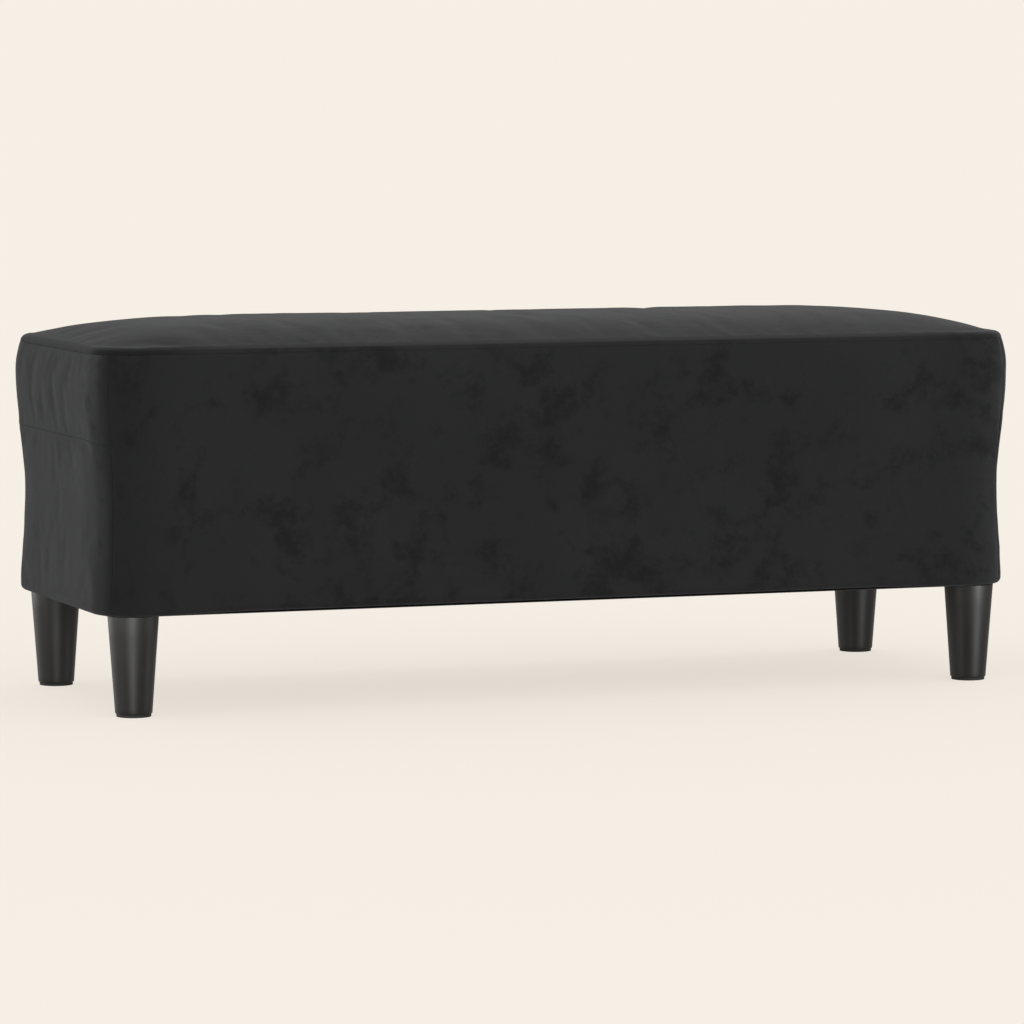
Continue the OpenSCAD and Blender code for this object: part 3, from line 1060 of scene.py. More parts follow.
@dataclass(frozen=True)
class Wadding(Finish):
    """White fibre wadding with loose strands."""

    name: str = "wadding"
    slot: str = "wadding"
    shaded: Colour = grey(0.66, 0.01)
    white: Colour = grey(0.86, 0.005)
    roughness: float = 0.97
    sheen: float = 0.35
    sheen_roughness: float = 0.6
    strands: Pattern = Pattern(190.0, 7.0, 0.72, 2.5)
    strand_span: Range = (0.35, 0.65)
    strand_relief: Emboss = Emboss(0.8 * MM, 0.8)
    tufts: Pattern = Pattern(28.0, 4.0, 0.6, 0.8)
    tuft_relief: Emboss = Emboss(3 * MM, 0.5)

    def graph(self) -> bpy.types.Material:
        """Makes the material.

        Returns:
            The finished material.
        """
        g = Graph(self.name)
        strands = g.noise(self.strands)
        return g.surface(
            Base_Color=g.mix(g.remap(strands, self.strand_span), self.shaded, self.white),
            Roughness=self.roughness,
            Sheen_Weight=self.sheen,
            Sheen_Roughness=self.sheen_roughness,
            Normal=g.bump(strands, self.strand_relief, g.bump(g.noise(self.tufts), self.tuft_relief)),
        )


@dataclass(frozen=True)
class PlatedSteel(Finish):
    """Zinc-plated steel, a little streaked."""

    name: str = "plated_steel"
    slot: str = "plated_steel"
    dull: Colour = (0.50, 0.51, 0.52, 1.0)
    bright: Colour = (0.66, 0.67, 0.68, 1.0)
    streaks: Pattern = Pattern(320.0, 4.0, 0.6, 0.3)
    streak_stretch: tuple[float, float, float] = (1.0, 1.0, 0.25)
    streak_span: Range = (0.3, 0.7)
    streak_roughness: Range = (0.26, 0.42)
    streak_relief: Emboss = Emboss(0.03 * MM, 0.4)

    def graph(self) -> bpy.types.Material:
        """Makes the material.

        Returns:
            The finished material.
        """
        g = Graph(self.name)
        streaks = g.noise(self.streaks, g.scaled(self.streak_stretch))
        return g.surface(
            Base_Color=g.mix(g.remap(streaks, self.streak_span), self.dull, self.bright),
            Metallic=1.0,
            Roughness=g.remap(streaks, self.streak_span, self.streak_roughness),
            Normal=g.bump(streaks, self.streak_relief),
        )


@dataclass(frozen=True)
class DustCloth(Finish):
    """Thin black bonded cloth with a pressed diamond pattern of weld points."""

    name: str = "dust_cloth"
    slot: str = "dust_cloth"
    thin: Colour = grey(0.008)
    thick: Colour = grey(0.021)
    welded: Colour = grey(0.004)
    roughness: float = 0.8
    specular: float = 0.25
    weld_scale: float = 420.0
    weld_span: Range = (0.12, 0.3)
    weld_share: Range = (0.5, 0.0)
    weld_edge: Range = (0.1, 0.35)
    weld_relief: Emboss = Emboss(0.2 * MM, 0.7)
    strands: Pattern = Pattern(260.0, 6.0, 0.7, 2.0)
    strand_span: Range = (0.35, 0.7)
    strand_relief: Emboss = Emboss(0.2 * MM, 0.5)

    def graph(self) -> bpy.types.Material:
        """Makes the material.

        Returns:
            The finished material.
        """
        g = Graph(self.name)
        diamonds = g.scaled((1.0, 1.0, 0.0), math.pi / 4)
        inputs = {"Vector": diamonds, "Scale": self.weld_scale, "Randomness": 0.0}
        welds = g.add("ShaderNodeTexVoronoi", inputs).outputs["Distance"]
        strands = g.noise(self.strands)
        colour = g.mix(g.remap(strands, self.strand_span), self.thin, self.thick)
        pressed = g.bump(g.remap(welds, self.weld_edge), self.weld_relief)
        return g.surface(
            Base_Color=g.mix(g.remap(welds, self.weld_span, self.weld_share), colour, self.welded),
            Roughness=self.roughness,
            Specular_IOR_Level=self.specular,
            Normal=g.bump(strands, self.strand_relief, pressed),
        )


# ---------------------------------------------------------------- the cover


@dataclass(frozen=True)
class Relief:
    """Soft undulation, seam puckers and pulled folds of the stretched cloth, in metres and repeats."""

    undulation: float = 0.0007
    undulation_scale: float = 11.0
    finer_scale: float = 2.3
    finer_share: float = 0.45
    pucker: float = 0.00030
    pucker_scale: float = 95.0
    pucker_depth: float = 0.009
    pucker_rise: float = 0.35
    fold: float = 0.0008
    end_fold: float = 0.0012
    fold_scale: float = 26.0
    fold_slant: float = 4.0
    fold_start: float = 0.012
    fold_drop: float = 0.060
    pull: float = 0.0011
    pull_scale: float = 4.2
    pull_start: float = 0.03
    pull_reach: float = 0.11
    allowance: float = 0.0002
    allowance_width: float = 0.011
    allowance_edge: float = 0.0025
    allowance_run: float = 0.003

    def soft(self, place: Vector) -> float:
        """Slow undulation at a place in space.

        Args:
            place: The place.

        Returns:
            Distance outwards.
        """
        slow = noise.noise(place * self.undulation_scale)
        quick = noise.noise(place * self.undulation_scale * self.finer_scale + Vector((7.3, 1.9, 4.1)))
        return self.undulation * (slow + self.finer_share * quick)

    def seam(self, along: float, away: float, seed: float) -> float:
        """Small puckers beside a seam.

        Args:
            along: Distance along the seam.
            away: Distance from the seam.
            seed: Number that tells one seam from another.

        Returns:
            Distance outwards, which fades with distance from the seam.
        """
        ripple = noise.noise(Vector((along * self.pucker_scale, seed, 0.0)))
        rising = eased(away / (self.pucker_rise * self.pucker_depth))
        return self.pucker * ripple * rising * math.exp(-away / self.pucker_depth)

    def folds(self, along: float, below: float, seed: float, at_end: bool) -> float:
        """Soft upright folds that hang from the seat's seam.

        Args:
            along: Distance along the wall.
            below: Distance below the seam.
            seed: Number that tells one wall from another.
            at_end: True for the deeper folds of a short wall.

        Returns:
            Distance outwards, which fades downwards.
        """
        wave = noise.noise(Vector((along * self.fold_scale, seed, below * self.fold_slant)))
        fade = eased(below / self.fold_start) * math.exp(-((below / self.fold_drop) ** 2))
        return (self.end_fold if at_end else self.fold) * wave * fade

    def pulls(self, from_end: float, from_side: float, seed: tuple[float, float]) -> float:
        """Short pulled folds that run in from a corner of the seat.

        Args:
            from_end: Distance in from the seat's end.
            from_side: Distance in from the seat's long side.
            seed: Numbers that tell one corner from another.

        Returns:
            Distance outwards.
        """
        away, angle = math.hypot(from_end, from_side), math.atan2(from_side, from_end)
        wave = noise.noise(Vector((angle * self.pull_scale, *seed)))
        return self.pull * wave * eased(away / self.pull_start) * math.exp(-((away / self.pull_reach) ** 2))

    def turned_edge(self, to_seam: float, curl: float) -> float:
        """Faint step over the turned edge of cloth that lies inside an upright seam."""
        outer = eased((self.allowance_width - to_seam) / self.allowance_edge)
        return self.allowance * outer * eased((to_seam - curl) / self.allowance_run)


@dataclass
class CoverPanel:
    """One cut panel of a wall's cover: turned under at the hem, or sewn at both edges.

    A run is the distance over which a form eases in. hem_inset and hem_ends are the start and the run
    of the hem's lift, in from the wall's face and in from its ends.
    """

    name: str
    node: str
    side: Side
    part: Part
    shape: BodyShape
    relief: Relief
    finish: PileCloth
    fill: float = 0.9
    curl: float = 0.0008
    curl_steps: int = 3
    thickness: float = 0.0012
    step: float = 0.007
    seam_step: float = 0.0014
    hem_steps: tuple[float, float] = (0.005, 0.006)
    fold_steps: int = 6
    hem_lift: float = 0.0021
    hem_inset: tuple[float, float] = (0.022, 0.014)
    hem_fade: float = 0.09
    hem_ends: tuple[float, float] = (0.04, 0.13)
    seam_dip: float = 0.0042
    dip_run: float = 0.05
    dip_power: float = 1.3
    dip_reach: float = 0.035
    seam_held: float = 0.003
    hem_held: float = 0.012
    seam_run: float = 0.02
    hem_run: float = 0.03
    end_run: float = 0.006
    wall_seed: float = 3.7
    deck_seed: float = 1.3
    piece: Optional[bpy.types.Object] = field(default=None, init=False)

    def columns(self) -> list[tuple[float, float]]:
        """Stations along the wall, each with how far the cloth curls in there.

        Returns:
            Pairs of the distance from the wall's middle and the curl.
        """
        half = self.shape.half_girth(self.side) - self.curl
        curls = [(self.curl * math.sin(a), -self.curl * (1 - math.cos(a))) for a in self.curl_angles]
        middle = [(u - half, 0.0) for u in graded(2 * half, self.seam_step, self.step)]
        start = [(-half - du, din) for du, din in reversed(curls)]
        return [*start, *middle, *[(half + du, din) for du, din in curls]]

    @property
    def curl_angles(self) -> list[float]:
        """Angles at which the turned-in edge is drawn."""
        return quarter_turn(self.curl_steps)[1:]

    def rows(self) -> list[tuple[float, float]]:
        """Stations up the wall.

        Returns:
            Pairs of the distance out from the nominal face and the height, from the hem or seam up.
        """
        s = self.shape
        low = s.deck_height if self.part is Part.UPPER else s.hem_radius
        high = s.deck_height if self.part is Part.LOWER else s.height
        first = low + self.curl if self.part is Part.UPPER else low
        last = high - self.curl
        wall = [
            (s.wall_out(first + h), first + h)
            for h in graded(last - first, self.seam_step, self.step)
        ]
        above = [
            (s.wall_out(last) - self.curl * (1 - math.cos(a)), last + self.curl * math.sin(a))
            for a in self.curl_angles
        ]
        if self.part is Part.UPPER:
            below = [
                (s.wall_out(first) - self.curl * (1 - math.cos(a)), first - self.curl * math.sin(a))
                for a in reversed(self.curl_angles)
            ]
        else:
            turned = [(-s.hem_turn + d, 0.0) for d in graded(s.hem_turn - s.hem_radius, *self.hem_steps)]
            fold = [
                (s.hem_radius * (math.cos(a) - 1), s.hem_radius * (1 - math.sin(a)))
                for a in reversed(quarter_turn(self.fold_steps)[1:-1])
            ]
            below = [*turned, *fold]
        return [*below, *wall, *above]

    def raised(self, along: float, out: float, height: float) -> float:
        """How far the cloth stands above its nominal height: the hem rides up between the legs, and
        the seam across an end dips beside the corners.

        Args:
            along: Signed distance from the middle of the wall.
            out: Distance out from the nominal face.
            height: Height above the underside of the body.

        Returns:
            Distance upwards.
        """
        s = self.shape
        to_end = s.half_girth(self.side) - abs(along)
        if self.side.is_long:
            inset, inset_run = self.hem_inset
            end, end_run = self.hem_ends
            in_hem = height < s.hem_radius
            share = eased((out + inset) / inset_run) if in_hem else 1 - eased(height / self.hem_fade)
            return self.hem_lift * share * eased((to_end - end) / end_run)
        dip = min(1.0, max(0.0, 1 - to_end / self.dip_run)) ** self.dip_power
        return -self.seam_dip * dip * math.exp(-(((height - s.deck_height) / self.dip_reach) ** 2))

    def build(self) -> bpy.types.Object:
        """Builds the panel as a single layer of cloth.

        Returns:
            The new piece.
        """
        columns, rows = self.columns(), self.rows()
        s = self.shape
        half = s.half_girth(self.side)
        seed = self.wall_seed * self.side.value
        deck_seam = self.part is not Part.FULL
        sewn_edge: list[bool] = []

        def place(column: int, row: int) -> Vector:
            """Place of one vertex.

            Args:
                column: Its number along the wall.
                row: Its number up the wall.

            Returns:
                The place.
            """
            along, curl = columns[column]
            out, height = rows[row]
            at, normal = s.wall_frame(self.side, along)
            to_end, below_top = half - abs(along), s.height - height
            to_seam = min(to_end, below_top, abs(s.deck_height - height) if deck_seam else 1.0)
            sewn_edge.append(to_seam < self.seam_held or height < self.hem_held)
            extra = 0.0
            if height > s.hem_radius:
                where = at + Vector((0.0, 0.0, height))
                hold = eased((to_seam - self.curl) / self.seam_run)
                hold *= eased((height - s.hem_radius) / self.hem_run)
                extra += self.relief.soft(where) * hold
                sewn = eased((to_end - self.curl) / self.end_run)
                extra += self.relief.seam(along, max(0.0, below_top - self.curl), seed) * sewn
                extra += self.relief.folds(along, below_top, seed, not self.side.is_long) * sewn
                extra += self.relief.seam(height, max(0.0, to_end - self.curl), seed + along) * hold
                if deck_seam:
                    away = max(0.0, abs(s.deck_height - height) - self.curl)
                    extra += self.relief.seam(along, away, seed + self.deck_seed) * sewn
                extra += self.relief.turned_edge(to_end, self.curl)
            spot = at + normal * (out + curl + extra)
            spot.z = s.leg_height + height + self.raised(along, out, height)
            return spot

        self.piece = grid_piece(self.name, len(columns) - 1, len(rows) - 1, place)
        held = self.piece.vertex_groups.new(name=SEWN)
        held.add([k for k, edge in enumerate(sewn_edge) if edge], 1.0, "REPLACE")
        return self.piece

    def dress(self) -> None:
        """Gives the layer its thickness, its finish and its place in the frame."""
        thicken(self.piece, self.thickness)
        take_place(self.piece, self.node, self.finish)


@dataclass
class SeatCover:
    """The crowned top panel of the cover, in rings inwards from its seam to a rectangular middle."""

    name: str
    node: str
    shape: BodyShape
    relief: Relief
    finish: PileCloth
    fill: float = 0.85
    curl: float = 0.0008
    curl_steps: int = 3
    thickness: float = 0.0012
    edge_steps: int = 5
    ring_depth: float = 0.060
    ring_steps: tuple[float, float] = (0.0012, 0.0068)
    ring_growth: float = 1.45
    long_cells: int = 126
    short_cells: int = 34
    sewn: float = 0.003
    sewn_run: float = 0.03
    crown_undulation: float = 1.6
    crown_squeeze: float = 1.3
    crown_seed: float = 2.0
    seam_seeds: tuple[float, float] = (9.1, 2.0)
    corner_seeds: tuple[float, float] = (3.1, 5.7)
    piece: Optional[bpy.types.Object] = field(default=None, init=False)

    def edge(self) -> list[tuple[float, float, float]]:
        """Rings of the turned-in edge and of the soft edge above it.

        Returns:
            For each ring its inset from the seam, its rise and its share of the crown.
        """
        r, c = self.shape.edge_radius, self.curl
        turned = [
            (c * (1 - math.sin(a)), c * (1 - math.cos(a)), 0.0)
            for a in quarter_turn(self.curl_steps)[:-1]
        ]
        soft = [
            (r * (1 - math.cos(a)), c + (r - c) * math.sin(a), math.sin(a))
            for a in quarter_turn(self.edge_steps)
        ]
        return [*turned, *soft]

    def rings(self) -> list[tuple[float, float, float]]:
        """All rings from the seam's edge in to the rectangular middle.

        Returns:
            For each ring its inset from the seam, its rise and its share of the crown.
        """
        r = self.shape.edge_radius
        span = self.ring_depth - r
        step, longest = self.ring_steps
        steps = []
        while sum(steps) + step < span:
            steps.append(step)
            step = min(longest, step * self.ring_growth)
        scale = span / sum(steps)
        inner = [(r + d * scale, r, 1.0) for d in accumulate(steps)]
        return [*self.edge(), *inner]

    def side_point(self, inset: float, quarter: int, share: float) -> Vector:
        """A place on a ring's side.

        Args:
            inset: Distance of the ring in from the seam.
            quarter: Which side: 0 front, 1 right, 2 rear, 3 left.
            share: Share of the way along the side, from one corner's middle to the next.

        Returns:
            The place in plan.
        """
        s = self.shape
        corner = s.corner_radius + s.wall_out(s.height)
        radius = max(0.0, corner * (1 - inset / self.ring_depth))
        a, b = s.seat_half_length - inset, s.seat_half_depth - inset
        along, off = (a, b) if quarter % 2 == 0 else (b, a)
        straight, arc = along - radius, radius * math.pi / 4
        distance = (share - 0.5) * 2 * (straight + arc)
        x, y = min(abs(distance), straight), -off
        if abs(distance) > straight and radius > 0:
            angle = (abs(distance) - straight) / radius
            x += radius * math.sin(angle)
            y += radius * (1 - math.cos(angle))
        spot = Vector((math.copysign(x, distance), y, 0.0))
        return Matrix.Rotation(quarter * math.pi / 2, 3, "Z") @ spot

    def build(self) -> bpy.types.Object:
        """Builds the panel as a single layer of cloth.

        Returns:
            The new piece.
        """
        s = self.shape
        places: list[Vector] = []
        cells = [self.long_cells, self.short_cells] * 2
        around = sum(cells)
        rings = self.rings()
        for inset, rise, share in rings:
            for quarter, count in enumerate(cells):
                for k in range(count):
                    spot = self.side_point(inset, quarter, k / count)
                    spot.z = s.seam_level + rise + share * s.crown(spot.x, spot.y)
                    places.append(spot)
        faces = []
        for low in range(0, (len(rings) - 1) * around, around):
            for i in range(around):
                j = (i + 1) % around
                faces.append((low + i, low + j, low + around + j, low + around + i))
        faces += self.fill_middle(places, (len(rings) - 1) * around)
        self.piece = mesh_piece(self.name, places, faces)
        self.lay(len(self.edge()) * around)
        return self.piece

    def fill_middle(self, places: list[Vector], last: int) -> list[tuple[int, ...]]:
        """Fills the last ring with a grid.

        Args:
            places: All places so far, to which the grid's own are added.
            last: Number of the last ring's first place.

        Returns:
            The grid's faces.
        """
        s, columns, rows = self.shape, self.long_cells, self.short_cells
        a, b = s.seat_half_length - self.ring_depth, s.seat_half_depth - self.ring_depth
        index: dict[tuple[int, int], int] = {}
        for j in range(rows + 1):
            for i in range(columns + 1):
                if j == 0:
                    index[i, j] = last + i
                elif i == columns:
                    index[i, j] = last + columns + j
                elif j == rows:
                    index[i, j] = last + columns + rows + (columns - i)
                elif i == 0:
                    index[i, j] = last + 2 * columns + rows + (rows - j)
                else:
                    x, y = a * (2 * i / columns - 1), b * (2 * j / rows - 1)
                    index[i, j] = len(places)
                    places.append(Vector((x, y, s.seam_level + s.edge_radius + s.crown(x, y))))
        return [
            (index[i, j], index[i + 1, j], index[i + 1, j + 1], index[i, j + 1])
            for j in range(rows)
            for i in range(columns)
        ]

    def lay(self, pinned: int) -> None:
        """Adds the relief, and pins the sewn edge for the simulation.

        Args:
            pinned: How many of the first vertices belong to the edge.
        """
        s = self.shape
        normals = vertex_normals(self.piece)
        places = coordinates(self.piece)
        for k, (x, y, _) in enumerate(places):
            from_end, from_side = s.seat_half_length - abs(x), s.seat_half_depth - abs(y)
            inset = min(from_end, from_side)
            hold = eased((inset - self.sewn) / self.sewn_run)
            where = Vector((x, y * self.crown_squeeze, self.crown_seed))
            raised = self.relief.soft(where) * self.crown_undulation * hold
            along = x if from_side < from_end else y
            seed = self.seam_seeds[0] + self.seam_seeds[1] * math.copysign(1, x + y)
            raised += self.relief.seam(along, max(0.0, inset - self.sewn), seed)
            corner = (math.copysign(self.corner_seeds[0], x), math.copysign(self.corner_seeds[1], y))
            raised += self.relief.pulls(from_end, from_side, corner) * hold
            places[k] += normals[k] * raised
        set_coordinates(self.piece, places)
        held = self.piece.vertex_groups.new(name=SEWN)
        held.add(list(range(pinned)), 1.0, "REPLACE")

    def dress(self) -> None:
        """Gives the layer its thickness, its finish and its place in the frame."""
        thicken(self.piece, self.thickness)
        take_place(self.piece, self.node, self.finish)


@dataclass(frozen=True)
class Stretching:
    """Cloth simulation that lets the sewn panels settle under an even pressure from inside, which stands
    for the foam behind them.
    """

    frames: int = 20
    quality: int = 6
    mass: float = 0.25
    pressure: float = 4.0
    slack: float = 0.006
    stretch: float = 18.0
    shear: float = 6.0
    bending: float = 0.6
    air_damping: float = 2.0
    cap: float = 0.0022
    gain: float = 0.9
    rounds: int = 36
    edge_rounds: int = 2

    def settle(self, pieces: Sequence[bpy.types.Object]) -> None:
        """Simulates all panels together, then keeps their wrinkles within a cap.

        Args:
            pieces: The panels, single layers of cloth with their held edges in the sewn group.
        """
        before = {piece.name: coordinates(piece) for piece in pieces}
        normals = {piece.name: vertex_normals(piece) for piece in pieces}
        for piece in pieces:
            self.add_cloth(piece)
        scene = bpy.context.scene
        for number in range(1, self.frames + 1):
            scene.frame_set(number)
        for piece in pieces:
            make_active(piece)
            bpy.ops.object.modifier_apply(modifier="cloth")
            moved = coordinates(piece) - before[piece.name]
            out = np.einsum("ij,ij->i", moved, normals[piece.name])
            wrinkles = (out - smooth_field(piece, out, self.rounds)) * self.gain
            kept = smooth_field(piece, self.cap * np.tanh(wrinkles / self.cap), 1)
            held = piece.vertex_groups[SEWN].index
            free = np.array(
                [0.0 if any(g.group == held for g in v.groups) else 1.0 for v in piece.data.vertices]
            )
            kept *= smooth_field(piece, free, self.edge_rounds) * free
            set_coordinates(piece, before[piece.name] + normals[piece.name] * kept[:, None])
            report = (piece.name, out.max() / MM, kept.min() / MM, kept.max() / MM)
            log.info("settled %s: swelled %.1f mm, wrinkles %.2f to %.2f mm", *report)
        scene.frame_set(1)

    def add_cloth(self, piece: bpy.types.Object) -> None:
        """Adds the simulation to one panel.

        Args:
            piece: The panel's single layer of cloth.
        """
        cloth = piece.modifiers.new("cloth", "CLOTH")
        settings = cloth.settings
        settings.quality = self.quality
        settings.mass = self.mass
        settings.tension_stiffness = settings.compression_stiffness = self.stretch
        settings.shear_stiffness = self.shear
        settings.bending_stiffness = self.bending
        settings.air_damping = self.air_damping
        settings.use_pressure = True
        settings.uniform_pressure_force = self.pressure
        settings.shrink_min = -self.slack
        settings.vertex_group_mass = SEWN
        settings.effector_weights.gravity = 0.0
        cloth.collision_settings.use_collision = False
        cloth.collision_settings.use_self_collision = False
        cloth.point_cache.frame_start = 1
        cloth.point_cache.frame_end = self.frames


@dataclass
class Cover:
    """The sewn pile cover: six panels round the walls and one over the seat."""

    shape: BodyShape = field(default_factory=BodyShape)
    relief: Relief = field(default_factory=Relief)
    seat_finish: PileCloth = field(default_factory=SeatPile)
    wall_finish: PileCloth = field(default_factory=WallPile)
    end_finish: PileCloth = field(default_factory=EndPile)
    stretching: Stretching = field(default_factory=Stretching)

    def panels(self) -> list[CoverPanel]:
        """The wall panels.

        Returns:
            The panels, long ones first.
        """
        cuts = [
            ("front_cover", "cover_front", Side.FRONT, Part.FULL),
            ("rear_cover", "cover_rear", Side.REAR, Part.FULL),
            ("left_lower_cover", "cover_left_lower", Side.LEFT, Part.LOWER),
            ("left_upper_cover", "cover_left_upper", Side.LEFT, Part.UPPER),
            ("right_lower_cover", "cover_right_lower", Side.RIGHT, Part.LOWER),
            ("right_upper_cover", "cover_right_upper", Side.RIGHT, Part.UPPER),
        ]
        return [
            CoverPanel(
                name, node, side, part, self.shape, self.relief,
                self.wall_finish if side.is_long else self.end_finish,
            )
            for name, node, side, part in cuts
        ]

    def build(self) -> None:
        """Builds, settles and dresses all panels."""
        seat = SeatCover("seat_cover", "cover_top", self.shape, self.relief, self.seat_finish)
        panels: list[SeatCover | CoverPanel] = [seat, *self.panels()]
        for panel in panels:
            panel.build()
        self.stretching.settle([panel.piece for panel in panels])
        for panel in panels:
            panel.dress()
            log.info("cover panel %s: %d faces", panel.name, len(panel.piece.data.polygons))


# ---------------------------------------------------------------- under the cover


@dataclass
class SoftFill:
    """The foam and wadding under the cover, a little inside their CAD solids."""

    shrink: float = 0.0018

    def build(self) -> None:
        """Builds and dresses each soft layer."""
        padding = Foam(slot="padding_foam", tint=(0.70, 0.70, 0.66, 1.0), cells=800.0)
        seat = Foam(slot="seat_foam", tint=(0.78, 0.70, 0.46, 1.0), cells=600.0)
        sides = ("front", "rear", "left", "right")
        layers = [
            *[(f"{side}_padding", f"padding_{side}", padding, 0.9) for side in sides],
            ("seat_filling", "seat_foam", seat, 1.0),
            ("wadding_layer", "seat_wadding", Wadding(), 0.6),
        ]
        for name, node, finish, fill in layers:
            piece = merged_copy(node, name)
            set_coordinates(piece, coordinates(piece) - vertex_normals(piece) * self.shrink)
            shade_smooth(piece, HARD_EDGE)
            take_place(piece, node, finish)
            log.info("soft layer %s: %d faces", name, len(piece.data.polygons))


@dataclass
class DustCover:
    """The bonded cloth stapled across the underside, which sags a little between the rails."""

    shape: BodyShape = field(default_factory=BodyShape)
    finish: DustCloth = field(default_factory=DustCloth)
    inset: float = 0.009
    thickness: float = 0.0006
    step: float = 0.008
    sag: float = 0.0022
    rail_width: float = 0.05
    cross_rail_half: float = 0.03
    depth_run: float = 0.09
    length_run: float = 0.12
    ripple: float = 0.25
    ripple_scale: float = 14
    ripple_seed: float = 0.4

    @property
    def half_length(self) -> float:
        """Half the length of the cut cloth."""
        return self.shape.length / 2 - self.inset

    @property
    def half_depth(self) -> float:
        """Half the depth of the cut cloth."""
        return self.shape.depth / 2 - self.inset

    @property
    def radius(self) -> float:
        """Corner radius of the cut cloth."""
        return self.shape.corner_radius - self.inset

    def drop(self, x: float, y: float) -> float:
        """How far the cloth hangs below the body at a place in plan.

        Args:
            x: Distance along the bench from its middle.
            y: Distance across it from its middle.

        Returns:
            The distance.
        """
        end_rail = self.shape.length / 2 - self.rail_width
        side_rail = self.shape.depth / 2 - self.rail_width
        across = eased((side_rail - abs(y)) / self.depth_run)
        bay = eased((end_rail - abs(x)) / self.length_run)
        bay *= eased((abs(x) - self.cross_rail_half) / self.length_run)
        wave = noise.noise(Vector((x * self.ripple_scale, y * self.ripple_scale, self.ripple_seed)))
        return self.sag * across * bay * (1 + self.ripple * wave)

    def build(self) -> bpy.types.Object:
        """Builds the sheet from a grid whose corners are drawn in to their radius.

        Returns:
            The new piece.
        """
        a, b, r = self.half_length, self.half_depth, self.radius
        columns, rows = round(2 * a / self.step), round(2 * b / self.step)
        top = self.shape.leg_height

        def place(column: int, row: int) -> Vector:
            """Place of one vertex.

            Args:
                column: Its number along the bench.
                row: Its number across it.

            Returns:
                The place.
            """
            x, y = a * (2 * column / columns - 1), b * (2 * row / rows - 1)
            over_x, over_y = max(0.0, abs(x) - (a - r)), max(0.0, abs(y) - (b - r))
            if over_x > 0 and over_y > 0:
                pull = max(over_x, over_y) / math.hypot(over_x, over_y)
                x = math.copysign(a - r + over_x * pull, x)
                y = math.copysign(b - r + over_y * pull, y)
            return Vector((x, y, top - self.drop(x, y)))

        piece = grid_piece("dust_sheet", columns, rows, place)
        apply_modifier(piece, "SOLIDIFY", thickness=self.thickness, offset=-1.0)
        shade_smooth(piece)
        take_place(piece, "dust_cover", self.finish)
        log.info("dust sheet: %.0f x %.0f mm", 2 * b / MM, 2 * a / MM)
        return piece


# ---------------------------------------------------------------- legs


